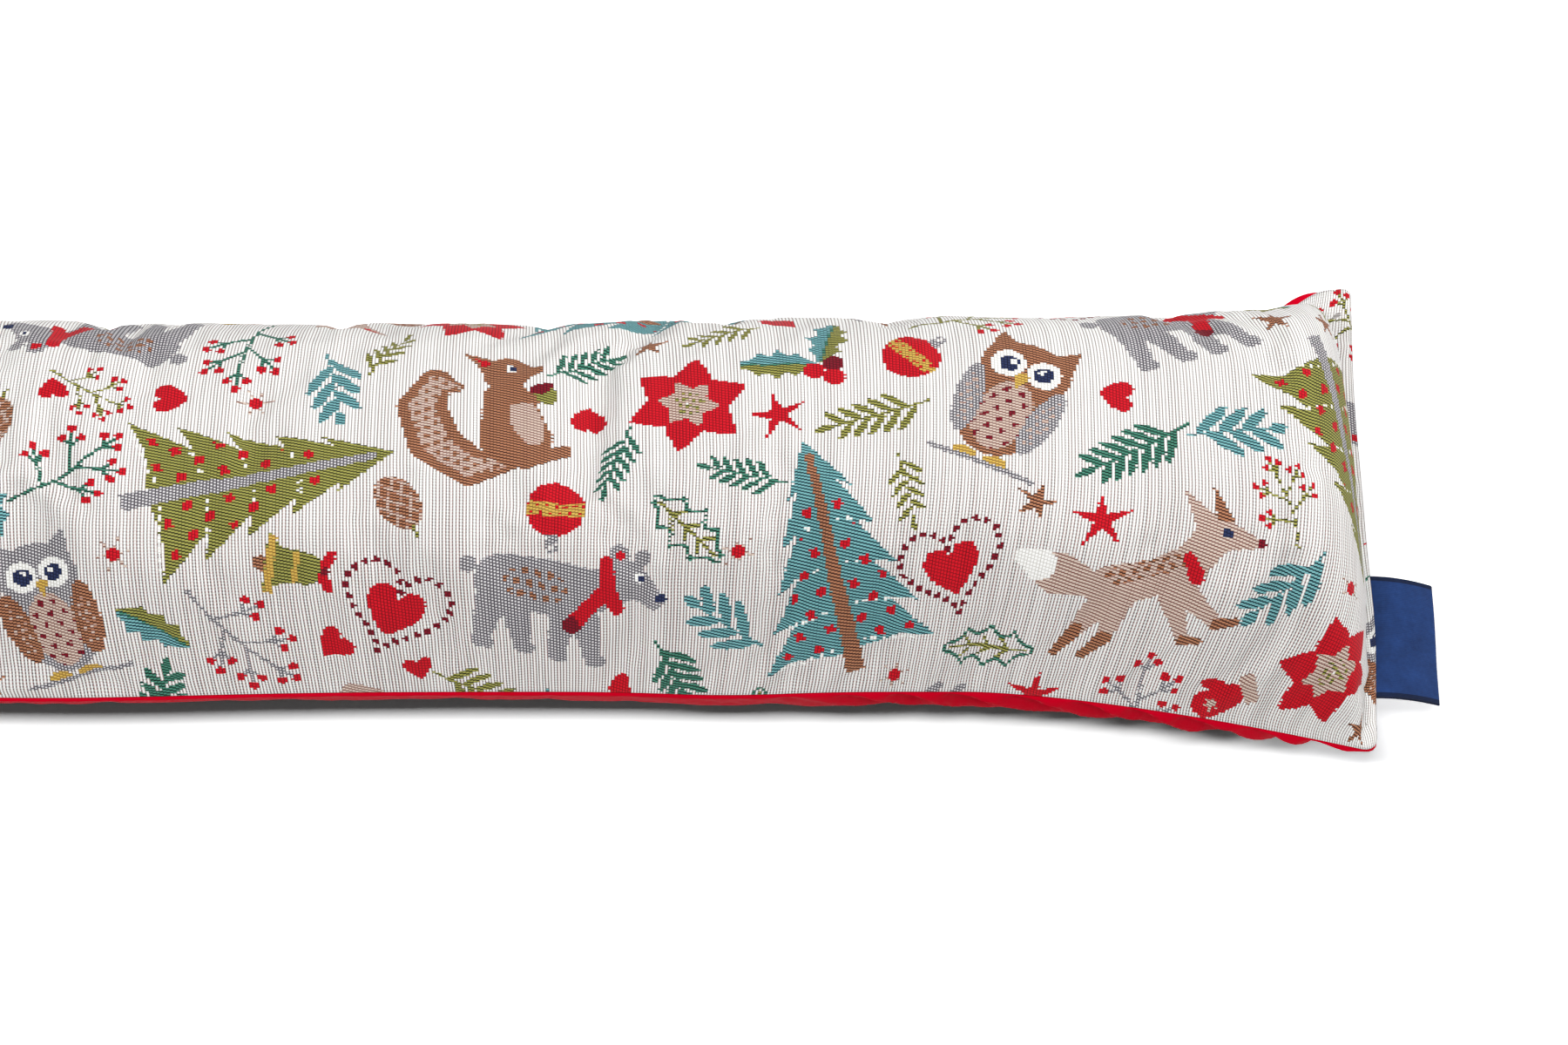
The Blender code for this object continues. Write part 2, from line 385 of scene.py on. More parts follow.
def berry_twig(p, q, stem):
    def twig(x, y, heading, length):
        angle = math.radians(heading)
        end_x = x + length * math.sin(angle)
        end_y = y + length * math.cos(angle)
        yield limb(p, q, x, y, 0.024, end_x, end_y, 0.024), stem
        return end_x, end_y

    yield limb(p, q, -0.10, -1.0, 0.026, 0, -0.45, 0.026, 0.02, 0.25, 0.024), stem
    for height, heading in ((-0.48, -62), (-0.26, 58), (0.02, -48), (0.12, 46), (0.24, -2)):
        fork = yield from twig(0, height, heading, 0.42)
        for turn, share in ((-50, 0.50), (-4, 0.72), (40, 0.50)):
            end = yield from twig(*fork, heading + turn, 0.42 * share)
            yield oval(p, q, *end, 0.066, 0.066), "red"


def holly_edge(q, points=4):
    along = np.clip((q + 1) / 2, 0, 1)
    bays = np.abs(np.sin(points * math.pi * along))
    return 0.56 * np.sin(math.pi * along) ** 0.6 * (1 - 0.42 * bays)


def holly(p, q, left="teal", right="olive"):
    inside = (np.abs(p) < holly_edge(q)) & (np.abs(q) < 1)
    yield inside & (p < 0), left
    yield inside & (p >= 0), right
    yield box(p, q, 0, 0, 0.028, 0.92), "green"


def holly_outline(p, q):
    reach = holly_edge(q)
    side = np.abs(p)
    yield (side < reach) & (side > reach - 0.085) & (np.abs(q) < 1), "green"
    yield box(p, q, 0, 0, 0.030, 0.85), "olive"
    for height in (-0.45, -0.05, 0.35):
        yield box(side, q - height - side * 0.9, 0, 0, 0.24, 0.045), "olive"


def holly_bunch(p, q):
    for turn, left, right in ((52, "olive", "teal"), (-48, "teal", "olive")):
        across, along = turned(p, q + 0.55, turn)
        yield from holly(across / 0.62, along / 0.62 - 1.08, left, right)
    for x, y, yarn in ((-0.15, -0.62, "red"), (0.18, -0.66, "maroon"), (0.02, -0.92, "red")):
        yield oval(p, q, x, y, 0.17, 0.17), yarn


# %% [markdown]
# A heart is two discs over a point. The row of dots round the larger one follows a well-known
# curve, whose points a formula gives one by one. Where a figure is only a list of shapes, such
# as the bauble, notes are shorter than a function.

# %% Hearts, stars and flowers
heart = from_notes("""
    red |oval .49 .38 .49 .5
    red |polygon 0 .4 .97 .24 .84 -.1 .5 -.5 0 -.98
""")


def dotted_heart(p, q, dots=30):
    yield from heart(p / 0.54, (q + 0.12) / 0.54)
    turn = np.linspace(0, math.tau, 721)
    x = 16 * np.sin(turn) ** 3
    y = 13 * np.cos(turn) - 5 * np.cos(2 * turn) - 2 * np.cos(3 * turn) - np.cos(4 * turn)
    run = np.concatenate(([0], np.cumsum(np.hypot(np.diff(x), np.diff(y)))))
    places = np.arange(dots) * run[-1] / dots
    for dot_x, dot_y in zip(np.interp(places, run, x), np.interp(places, run, y)):
        yield box(p, q, dot_x / 16.5, dot_y / 16.5, 0.056, 0.056), "maroon"


def star(p, q, yarn="red", points=5, waist=0.36, heart_yarn=None):
    corners = []
    for corner in range(points * 2):
        angle = math.pi * corner / points
        reach = waist if corner % 2 else 1.0
        corners.append((reach * math.sin(angle), reach * math.cos(angle)))
    yield polygon(p, q, *corners), yarn
    if heart_yarn:
        yield oval(p, q, 0, 0, 0.34, 0.34), heart_yarn


def poinsettia(p, q, petals=6):
    for size, yarn, offset in ((1.0, "red", 0.0), (0.50, "tan", 0.5)):
        for number in range(petals):
            angle = math.tau * (number + offset) / petals
            along = (p * math.sin(angle) + q * math.cos(angle)) / size
            across = np.abs(p * math.cos(angle) - q * math.sin(angle)) / size
            width = 0.33 * np.sin(math.pi * np.clip(along, 0, 1) ** 0.75)
            yield (across < width) & (along > 0.05) & (along < 1), yarn
    yield flecks(p, q, 0.13, 0.13, 0.036) & (np.hypot(p, q) < 0.24), "olive"


bauble = from_notes("""
    red oval 0 -.14 .8 .8
    gold oval 0 -.14 .8 .8 & box 0 -.14 1 .2
    red oval 0 -.14 .8 .8 & box 0 -.14 1 .15 & flecks .26 .26 .06 .14
    grey box 0 .73 .16 .11
    grey oval 0 .96 .15 .17
    ground oval 0 .96 .07 .08
""")
bell = from_notes("""
    brown oval 0 -.72 .2 .2
    olive |polygon 0 .86 .26 .78 .42 .42 .5 -.25 .82 -.62 0 -.62
    gold box 0 -.5 .78 .1
    gold box 0 .12 .44 .07
    red oval -.3 .88 .3 .14 -24
    red oval .3 .88 .3 .14 24
    maroon oval 0 .86 .11 .11
""")


def mitten(p, q):
    yield limb(p, q, -0.06, -0.20, 0.38, -0.06, 0.42, 0.42), "red"
    yield limb(p, q, 0.18, -0.10, 0.20, 0.60, 0.26, 0.17), "red"
    yield box(p, q, -0.06, -0.72, 0.44, 0.18), "tan"
    yield from star((p + 0.06) / 0.28, (q - 0.30) / 0.28, "tan", points=6)


def cone(p, q):
    body = oval(p, q, 0, -0.08, 0.56, 0.86)
    yield body, "brown"
    for slant in (1.9, -1.9):
        yield body & (np.abs((p * 2.6 + q * slant) % 1 - 0.5) > 0.40), "tan"
    yield limb(p, q, 0, 0.78, 0.05, 0.06, 1.05, 0.04), "olive"


# %% [markdown]
# Animals give the pattern its large patches of brown, tan and grey. They are noted from the far
# side to the near side, with flecks for fur and feathers.

# %% Animals
owl = from_notes("""
    coat |polygon .1 .72 .5 1.02 .54 .52
    coat oval 0 .46 .56 .42
    coat limb 0 .25 .5 0 -.45 .46
    breast oval 0 -.3 .34 .52
    maroon oval 0 -.3 .34 .52 & flecks .2 .15 .034
    wing |oval .47 -.22 .17 .52 -8
    breast |oval .47 -.22 .1 .4 -8 & flecks .11 .1 .026
    white |oval .23 .46 .21 .21
    navy |oval .22 .46 .12 .12
    white |oval .19 .5 .04 .04
    gold |polygon 0 .12 .1 .36 0 .4
    gold |oval .2 -.96 .15 .07
    grey limb -.62 -1.04 .035 .7 -1.02 .035
""", coat="brown", breast="tan", wing="grey")

BRUSH = "-.20 -.78 {} -.62 -.66 {} -.80 -.18 {} -.70 .36 {} -.38 .62 {} -.22 .44 {}"
RIDGE = BRUSH.format(.0624, .1248, .156, .1404, .0988, .0416)
squirrel = from_notes(f"""
    coat limb {BRUSH.format(.12, .24, .30, .27, .19, .08)}
    tail limb {RIDGE}
    coat limb {RIDGE} & flecks .12 .12 .03
    coat limb .02 -.52 .4 .2 .02 .27
    tail oval .24 -.36 .17 .36 -12
    coat limb -.05 -.86 .11 .42 -.9 .08
    coat oval .4 .38 .29 .25 8
    coat limb .52 .34 .15 .72 .27 .06
    coat polygon .16 .5 .14 .92 .38 .6
    red polygon .21 .58 .19 .8 .31 .62
    white oval .47 .42 .065 .065
    navy oval .48 .42 .038 .038
    coat limb .26 0 .09 .52 -.12 .07
    olive oval .62 -.1 .12 .15
    maroon oval .62 0 .14 .07
""", coat="brown", tail="tan")

bear = from_notes("""
    coat limb .3 -.2 .16 .5 -.68 .085 .57 -.7 .07
    coat limb .1 -.2 .16 .08 -.68 .085 .15 -.7 .07
    coat limb -.42 -.2 .16 -.28 -.68 .085 -.21 -.7 .07
    coat limb -.68 -.2 .16 -.72 -.68 .085 -.65 -.7 .07
    coat limb -.6 .04 .29 -.1 .06 .31 .3 .1 .25
    coat limb .4 .16 .22 .66 .3 .23
    coat limb .8 .24 .17 .98 .16 .11
    coat oval .52 .56 .11 .11
    coat oval .76 .58 .09 .09
    red oval .53 .56 .05 .05
    coat oval -.97 .14 .09 .09
    navy oval 1.06 .21 .055 .05
    white oval .78 .36 .055 .055
    navy oval .79 .36 .032 .032
    brown oval -.26 .06 .34 .2 & flecks .13 .13 .034
    scarf limb .4 .44 .07 .5 .12 .09 .62 -.04 .07
    scarf limb .44 .12 .075 .24 -.22 .09
    maroon limb .3 -.12 .03 .19 -.3 .1 & polygon -3 2.98 2.98 -3 -3 -3
""", coat="grey", scarf="red")

fox = from_notes("""
    coat limb -.42 .02 .1 -.78 .2 .19 -1.06 .4 .08
    white limb -.93 .31 .15 -1.08 .42 .07
    coat limb .3 -.1 .11 .62 -.46 .055 .78 -.46 .04
    trim limb .62 -.46 .055 .78 -.46 .04
    coat limb .2 -.14 .11 .34 -.6 .055 .48 -.62 .04
    trim limb .34 -.6 .055 .48 -.62 .04
    coat limb -.34 -.08 .16 -.62 -.4 .07 -.8 -.6 .045
    trim limb -.62 -.4 .07 -.8 -.6 .045
    coat limb -.24 -.1 .15 -.36 -.5 .07 -.56 -.66 .045
    trim limb -.36 -.5 .07 -.56 -.66 .045
    coat limb -.34 0 .21 .04 .02 .17 .34 .1 .19
    coat limb .4 .16 .16 .6 .36 .17
    coat limb .66 .34 .14 .98 .22 .035
    coat polygon .44 .42 .4 .8 .62 .52
    trim polygon .62 .48 .66 .8 .78 .44
    trim limb -.3 .1 .08 .24 .14 .08 & flecks .11 .08 .03
    red limb .42 0 .07 .36 .18 .05
    navy oval .7 .36 .045 .045
    maroon oval .99 .22 .045 .045
""", coat="tan", trim="brown")

# %% [markdown]
# One repeat of the pattern is laid out in two goes. The big motifs stand in a table, where x runs
# along the panel and y up from its front seam. They lie every way up, since a cushion is seen
# from all round. The small ones are packed into the gaps: an FFT slides each one over the whole
# paper at once and counts the cells that it would cover, and of the free places the emptiest
# wins. The paper wraps round, so motifs run off its edges, as they do where cloth is cut.

# %% The motifs of one repeat
OLIVE_FIR = {"leaf": "olive", "trunk": "grey"}
TEAL_FIR = {"leaf": "teal", "trunk": "brown"}
BIG_MOTIFS = (  # motif, x, y, size, turn, look
    (fir, 0.078, 0.080, 0.042, 78, OLIVE_FIR),
    (bear, 0.172, 0.038, 0.032, 12, {}),
    (squirrel, 0.150, 0.108, 0.029, -28, {}),
    (fir, 0.262, 0.052, 0.041, -16, TEAL_FIR),
    (owl, 0.318, 0.108, 0.027, 24, {}),
    (fox, 0.366, 0.046, 0.036, -14, {}),
    (fir, 0.436, 0.096, 0.041, 160, OLIVE_FIR),
    (bear, 0.020, 0.144, 0.030, 200, {}),
    (fir, 0.200, 0.168, 0.040, 98, TEAL_FIR),
    (squirrel, 0.100, 0.172, 0.028, 140, {"coat": "tan", "tail": "brown"}),
    (owl, 0.008, 0.034, 0.025, -14, {"coat": "grey", "wing": "brown"}),
    (fox, 0.290, 0.178, 0.034, 172, {"coat": "brown", "trim": "grey"}),
    (bear, 0.376, 0.152, 0.031, -20, {}),
    (poinsettia, 0.214, 0.108, 0.020, 10, {}),
    (poinsettia, 0.438, 0.024, 0.020, 34, {}),
    (dotted_heart, 0.118, 0.034, 0.018, 24, {}),
)
SMALL_MOTIFS = (  # how many, motif, size, look
    (2, berry_twig, 0.023, {"stem": "grey"}),
    (1, dotted_heart, 0.019, {}),
    (2, berry_twig, 0.022, {"stem": "green"}),
    (2, holly_bunch, 0.020, {}),
    (3, sprig, 0.021, {"leaf": "green", "pairs": 6}),
    (2, berry_twig, 0.021, {"stem": "olive"}),
    (1, poinsettia, 0.019, {}),
    (1, dotted_heart, 0.017, {}),
    (3, sprig, 0.019, {"leaf": "olive", "pairs": 5}),
    (4, sprig, 0.016, {"leaf": "teal", "pairs": 3, "reach": 0.85, "fat": 0.12, "lean": 40}),
    (3, holly_outline, 0.016, {}),
    (2, bauble, 0.0120, {}),
    (2, bell, 0.0130, {}),
    (1, mitten, 0.0130, {}),
    (2, cone, 0.0120, {}),
    (3, sprig, 0.015, {"leaf": "green", "pairs": 5}),
    (2, berry_twig, 0.0155, {"stem": "olive"}),
    (3, sprig, 0.0135, {"leaf": "olive", "pairs": 4}),
    (2, holly, 0.0125, {}),
    (3, star, 0.0105, {"waist": 0.27}),
    (5, heart, 0.0062, {}),
    (5, star, 0.0072, {"yarn": "brown", "waist": 0.30}),
    (7, star, 0.0066, {"yarn": "tan", "points": 6, "waist": 0.16, "heart_yarn": "red"}),
    (5, heart, 0.0048, {}),
)

# %% Stamping and packing
MARGIN = 0.0013  # clear ground kept round a small motif
HOLE = 0.016  # radius of the holes that are filled first
MOST_OVERLAP = 6  # cells that a small motif may cover of others
TURN_STEP = 40  # degrees between the turns that are tried
FIRST_TURN_STEP = 137  # so that neighbours lie differently
CORNER_REACH = 2.2  # square of the distance beyond which no motif reaches


def offset(x, y):
    """Distances of all cells from a point, the short way round the paper's edges."""
    wraps = ((paper_x - x, REPEAT_RIBS * RIB), (paper_y - y, PICKS * PICK))
    return [(away + wrap / 2) % wrap - wrap / 2 for away, wrap in wraps]


def stamp(onto, motif, x, y, size, turn, yarns):
    """Weaves one motif into the chart `onto`, wrapped round its edges."""
    dx, dy = (away / size for away in offset(x, y))
    near = np.nonzero(dx * dx + dy * dy < CORNER_REACH)
    cells = onto[near]
    for mask, yarn in motif(*turned(dx[near], dy[near], -turn), **yarns):
        cells[mask] = YARNS.index(yarn)
    onto[near] = cells


def spread(mask, radius):
    """For each cell, how many cells of the mask lie within a radius of it."""
    dx, dy = offset(0, 0)
    disc = np.fft.rfft2(dx**2 + dy**2 < radius**2)
    return np.fft.irfft2(np.fft.rfft2(mask) * disc, mask.shape)


def packed_place(motif, size, yarns, first_turn):
    """How much is covered, and the place and turn where this is least and the ground emptiest."""
    taken = paper > 0
    crowded = spread(taken, HOLE) / spread(np.ones_like(paper), HOLE)
    grown = np.fft.rfft2(spread(taken, MARGIN) > 0.5)
    best = None
    for turn in range(first_turn, first_turn + 360, TURN_STEP):
        blank = np.zeros_like(paper)
        stamp(blank, motif, 0, 0, size, turn, yarns)
        covered = np.fft.irfft2(grown * np.conj(np.fft.rfft2(blank > 0)), paper.shape)
        score = np.round(covered) + crowded
        column, row = np.unravel_index(np.argmin(score), score.shape)
        if best is None or score[column, row] < best[0] - 1e-6:
            best = (score[column, row], column * RIB, row * PICK, turn)
    return best


for motif, *where, yarns in BIG_MOTIFS:
    stamp(paper, motif, *where, yarns)
first_turn = 0
for count, motif, size, yarns in SMALL_MOTIFS:
    for _ in range(count):
        overlap, x, y, turn = packed_place(motif, size, yarns, first_turn)
        if overlap <= MOST_OVERLAP:
            stamp(paper, motif, x, y, size, turn, yarns)
        first_turn = (first_turn + FIRST_TURN_STEP) % 360
chart = np.concatenate((paper, paper))
print("the motifs cover", round(100 * np.mean(chart > 0)), "% of the ground")

# %% [markdown]
# ## The shape of the filled cushion
#
# Both panels are sewn flat and the filling gives them their form. The functions take x, the
# place along the cushion, and t, from -1 at the front seam to 1 at the rear one, and work on
# whole arrays at once. Sculpting would be quicker to start, but every later step needs to know
# where a thread of the cloth lies, and a formula can say.

# %% Sizes of the cushion
HALF_LENGTH = front_high[0]
SEAM_HEIGHT = 0.0500  # long seams over the table
EDGE = 0.0012  # from the middle of a seam to either face of it
MID_HALF_WIDTH = 0.0712  # centre line to a long seam
CORNER_HALF_WIDTH = 0.0890  # centre line to a corner
FLARE_RUN = 0.135
FLARE_POWER = 1.5
EAR_SPAN = (0.008, 0.034)  # where the rear seams turn out and up into ears, from the end
EAR_SHARE = 0.60
CORNER_ROUNDS = (0.0055, 0.0030)  # front and rear
CORNER_RISES = (-0.0095, 0.0065)
CROWN_HEIGHT = 0.0520
CROWN_RISE = 0.0040  # the cushion is fuller towards its ends
FULL_SPAN = (0.100, 0.330)  # from its middle
ARCH_SHARE = 0.12
BELLY_DEPTH = 0.0560
BELLY_POWERS = (2.5, 3.2)  # boxier where it is fuller
END_LIPS = (0.0034, 0.0058)  # flat cloth before the end seam, front and rear
EARS = (0.0020, 0.0160)  # more of it in the corners
EAR_POWER = 5
CROWN_END_RUN = 0.028
BELLY_END_RUN = 0.062
END_POWER = 2.6
END_OUT = 0.0026  # how far the filling pushes the end wall out over its lip

HOLLOWS = (  # x, t, radius along and across, and depth, which is under 0 for a swelling
    (0.000, -0.78, 0.016, 0.30, 0.0060),
    (0.035, -0.55, 0.020, 0.22, -0.0015),
    (-0.210, 0.35, 0.045, 0.40, 0.0022),
    (0.175, 0.45, 0.050, 0.40, 0.0018),
    (-0.330, -0.60, 0.022, 0.30, 0.0030),
)
SEAM_BOWS = (  # x, radius and how far a slack place of the front seam hangs out of line
    (0.005, 0.070, 0.0024),
    (0.230, 0.028, 0.0013),
    (-0.260, 0.050, 0.0018),
)
END_BOWS = ((-0.52, 0.30, 0.0014), (0.55, 0.40, -0.0012))  # the same for the end seams, by t
END_BOW_RUN = 0.02  # stretch of cloth that follows them
SWELLS = ((0.310, 0.0009, 0.4), (0.173, 0.0007, 1.9), (0.097, 0.0004, 4.1))  # period, height, phase


# %% The outline and the seams
def ease(value, start, end):
    share = np.clip((value - start) / (end - start), 0, 1)
    return share * share * (3 - 2 * share)


def mix(first, second, share):
    return first + (second - first) * share


def from_end(x):
    return HALF_LENGTH - np.abs(x)


def fullness(x):
    return ease(np.abs(x), *FULL_SPAN)


def bowed(place, bows):
    return sum(out * np.exp(-(((place - at) / radius) ** 2)) for at, radius, out in bows)


def flares(x, t):
    """0 along the middle of a seam and 1 at its corners."""
    front = np.maximum(1 - from_end(x) / FLARE_RUN, 0) ** FLARE_POWER
    ear = 1 - ease(from_end(x), *EAR_SPAN)
    return np.where(t > 0, mix(front, ear, EAR_SHARE), front)


def half_width(x, t):
    width = mix(MID_HALF_WIDTH, CORNER_HALF_WIDTH, flares(x, t))
    corner = np.where(t > 0, CORNER_ROUNDS[1], CORNER_ROUNDS[0])
    into_corner = np.clip(1 - from_end(x) / corner, 0, 1)
    width = width - corner * (1 - np.sqrt(1 - into_corner**2))
    return width + np.where(t < 0, bowed(x, SEAM_BOWS), 0)


def seam_height(x, t):
    front = SEAM_HEIGHT + CORNER_RISES[0] * flares(x, -1)
    rear = SEAM_HEIGHT + CORNER_RISES[1] * flares(x, 1)
    return mix(front, rear, (t + 1) / 2)


def filling(x, t, run):
    """Share of its full height that the filling has, and how near it is to the flat lip."""
    lip = mix(*END_LIPS, (t + 1) / 2) + np.where(t > 0, EARS[1], EARS[0]) * np.abs(t) ** EAR_POWER
    near_lip = 1 - np.clip((from_end(x) - lip) / run, 0, 1)
    return np.sqrt(1 - near_lip**END_POWER), near_lip


# %% The crown and the belly
def end_bow(x, t):
    """x, with the end seams a little in or out of line."""
    near_end = ease(np.abs(x), HALF_LENGTH - END_BOW_RUN, HALF_LENGTH)
    return x + np.sign(x) * bowed(t, END_BOWS) * near_end


def crown(x, t):
    """Points of the front panel, as three arrays."""
    hollow = 0
    for at_x, at_t, radius_x, radius_t, depth in HOLLOWS:
        along, across = (x - at_x) / radius_x, (t - at_t) / radius_t
        hollow = hollow + depth * np.exp(-(along**2) - across**2) * (1 - t**6)
    arch = ARCH_SHARE * (1 - t**2) + (1 - ARCH_SHARE) * (1 - t**4)
    swell = sum(height * np.cos(math.tau * x / period + phase) for period, height, phase in SWELLS)
    full = CROWN_HEIGHT + CROWN_RISE * fullness(x) + swell
    filled, near_lip = filling(x, t, CROWN_END_RUN)
    pushed = np.sign(x) * END_OUT * filled * near_lip**2 * (1 - t**4)
    rise = (full * arch - hollow) * filled
    return end_bow(x, t) + pushed, half_width(x, t) * t, seam_height(x, t) + EDGE + rise


def belly(x, t):
    """Points of the back panel, flat where it rests on the table."""
    power = mix(*BELLY_POWERS, fullness(x))
    drop = BELLY_DEPTH * filling(x, t, BELLY_END_RUN)[0] * (1 - np.abs(t) ** power)
    y = half_width(x, t) * t
    return end_bow(x, t), y, np.maximum(seam_height(x, t) - EDGE - drop, 0)


print("half length", round(HALF_LENGTH, 4), "half width", round(CORNER_HALF_WIDTH, 4))

# %% [markdown]
# Cloth keeps its length. A square of the pattern is as big on the steep end as on top, so the
# mesh can't be laid out in even steps of x. Each panel is measured instead, along many lines of
# constant t and across many of constant x, and a point of the flat panel, a along it and b from
# 0 to 1 across, is looked up in these tables. Towards the ends the ribs fan out a little,
# because the cloth on top has further to go than the cloth at the seams.

# %% From flat cloth to the cushion
FAN_START = 0.28  # the ribs of the cloth lie straight across nearer to the middle than this
END_DETAIL = 0.022  # stretch at each end measured in very small steps
MIDDLE_STEPS, END_STEPS, CROSS_STEPS = 420, 900, 180
LOOKUPS = 4  # rounds in which x and t are found from each other
RIB_BOW, RIB_BOW_PERIOD, RIB_BOW_START = 0.0080, 0.42, 0.05  # to one side, then to the other
RIB_LEAN, RIB_LEAN_PERIOD = 0.0030, 0.31


def running_length(points, axis):
    """The length of cloth from the start of each line of points."""
    steps = np.linalg.norm(np.diff(points, axis=axis + 1), axis=0)
    return np.insert(np.cumsum(steps, axis=axis), 0, 0, axis=axis)


def panel_grid(surface, columns, rows):
    """x and t for each corner of a grid of cloth, and the length and width of the panel."""
    near_end = HALF_LENGTH - np.linspace(END_DETAIL, 0, END_STEPS)
    middle = np.linspace(0, HALF_LENGTH - END_DETAIL, MIDDLE_STEPS)
    right = np.concatenate((middle[:-1], near_end))
    x_table = np.concatenate((-right[::-1], right[1:]))
    t_table = np.sin(np.linspace(-math.pi / 2, math.pi / 2, CROSS_STEPS + 1))
    points = np.stack(np.broadcast_arrays(*surface(x_table[:, None], t_table[None, :])))
    along, across = running_length(points, 0), running_length(points, 1)
    along -= along[len(x_table) // 2]
    length = along[-1, CROSS_STEPS // 2] - along[0, CROSS_STEPS // 2]
    width = across[len(x_table) // 2, -1]
    across /= across[:, -1:]

    a = np.linspace(-1, 1, columns + 1) * length / 2
    b = np.linspace(0, 1, rows + 1)
    x_of_a = np.empty((len(a), len(t_table)))
    for k, measured in enumerate(along.T):
        fan = np.interp(FAN_START, x_table, measured)
        scale = (length / 2 - fan) / (measured[-1] - fan)
        stretched = np.sign(measured) * (fan + (np.abs(measured) - fan) * scale)
        x_of_a[:, k] = np.interp(a, np.where(np.abs(measured) > fan, stretched, measured), x_table)
    t_of_b = np.stack([np.interp(b, row, t_table) for row in across])
    t = np.tile(np.interp(b, across[len(x_table) // 2], t_table), (len(a), 1))
    x = np.zeros_like(t)
    for _ in range(LOOKUPS):
        for i in range(len(a)):
            x[i] = np.interp(t[i], t_table, x_of_a[i])
        for j in range(len(b)):
            t[:, j] = np.interp(x[:, j], x_table, t_of_b[:, j])
    bow = RIB_BOW * np.cos(math.tau * (a - RIB_BOW_START) / RIB_BOW_PERIOD)
    lean = RIB_LEAN * np.sin(math.tau * a / RIB_LEAN_PERIOD + 1)
    inner = 1 - (2 * a / length) ** 6
    for j, share in enumerate(2 * b - 1):
        moved = a + inner * (bow * share**2 + lean * share)
        x[:, j] = np.interp(moved, a, x[:, j])
        t[:, j] = np.interp(x[:, j], x_table, t_of_b[:, j])
    return x, t, length, width


def points_on(surface, x, t):
    return np.stack(np.broadcast_arrays(*surface(x, t)), axis=-1)


def quads_of(number):
    """The faces of a grid of numbered points."""
    corners = (number[:-1, :-1], number[1:, :-1], number[1:, 1:], number[:-1, 1:])
    return np.stack(corners, axis=-1).reshape(-1, 4)


COLUMNS, ROWS = RIBS // 2, PICKS // 2  # a face of the mesh holds 2 by 2 cells of the chart
front_x, front_t, panel_length, panel_width = panel_grid(crown, COLUMNS, ROWS)
print("front panel", round(panel_length, 3), "by", round(panel_width, 3), "m, so a rib is", end=" ")
print(round(1000 * panel_length / RIBS, 2), "and a pick", round(1000 * panel_width / PICKS, 2), "mm")

# %% [markdown]
# ## Filling it
#
# The formulas give a smooth balloon, and real cloth isn't one: sewn to a seam it can't stretch,
# so the filling wrinkles it. Blender's cloth solver finds those wrinkles. A coarse copy of both
# panels, pinned along its seams and cut a little too large, is blown up without gravity. Of
# how far each point moved, what its neighbours share is dropped, since the photograph fixes the
# overall form. The rest, the wrinkles, is later added to the fine meshes.

# %% A coarse cushion, blown up
FILL_COLUMNS, FILL_ROWS = 178, 38  # squares of about 5 mm
FILL_FRAMES = 22
FILL_PRESSURE = 4.0
FILL_STIFFNESS = 0.3
SPARE_CLOTH = 0.022  # how much too large it is cut
MOST_MOVE = 0.005
SLOW_REACH = 8  # squares over which a point's neighbours are averaged for it
END_SQUARES = (6, 14)  # nearer to an end than this, they are averaged across the cushion instead


def blown_up(top, bottom):
    """Moves of both grids of points in the simulation. They share their rims, which stay."""
    rim = np.zeros(top.shape[:2], dtype=bool)
    rim[[0, -1], :] = rim[:, [0, -1]] = True
    top_number = np.arange(rim.size).reshape(rim.shape)
    bottom_number = np.where(rim, top_number, 0)
    bottom_number[~rim] = rim.size + np.arange(np.count_nonzero(~rim))
    points = np.concatenate((top.reshape(-1, 3), bottom[~rim]))
    points[top_number[rim]] = (top[rim] + bottom[rim]) / 2
    faces = quads_of(top_number).tolist() + quads_of(bottom_number)[:, ::-1].tolist()
    mesh = bpy.data.meshes.new("filling")
    mesh.from_pydata(points.tolist(), [], faces)
    cushion = put_in_scene("filling", mesh)
    cushion.vertex_groups.new(name="seam").add(top_number[rim].tolist(), 1.0, "REPLACE")
    cloth = cushion.modifiers.new("cloth", "CLOTH")
    cloth.settings.vertex_group_mass = "seam"
    cloth.settings.use_pressure = True
    cloth.settings.uniform_pressure_force = FILL_PRESSURE
    cloth.settings.shrink_min = -SPARE_CLOTH
    cloth.settings.effector_weights.gravity = 0
    cloth.settings.bending_stiffness = FILL_STIFFNESS
    cloth.collision_settings.use_collision = False
    cloth.point_cache.frame_end = FILL_FRAMES
    for frame_number in range(1, FILL_FRAMES + 1):
        bpy.context.scene.frame_set(frame_number)
    filled = cushion.evaluated_get(bpy.context.evaluated_depsgraph_get()).data
    moved = np.empty(points.size)
    filled.vertices.foreach_get("co", moved)
    moved = moved.reshape(-1, 3) - points
    bpy.data.objects.remove(cushion)
    bpy.context.scene.frame_set(1)
    return moved[top_number], moved[bottom_number]


def wrinkles_of(moved):
    """The fast part of the moves, capped."""
    window = np.hanning(2 * SLOW_REACH + 3)[1:-1]
    window /= window.sum()
    slow = []
    for axis in (0, 1):
        margins = [(0, 0), (0, 0), (0, 0)]
        margins[axis] = (SLOW_REACH, SLOW_REACH)
        padded = np.pad(moved, margins, mode="edge")
        slow.append(np.apply_along_axis(np.convolve, axis, padded, window, "valid"))
    column = np.arange(len(moved))[:, None, None]
    inner = ease(np.minimum(column, len(moved) - 1 - column), *END_SQUARES)
    kept = moved - mix(slow[1], slow[0], inner)
    kept[[0, -1], :] = kept[:, [0, -1]] = 0
    size = np.linalg.norm(kept, axis=-1, keepdims=True)
    return kept * np.minimum(1, MOST_MOVE / np.maximum(size, 1e-9))


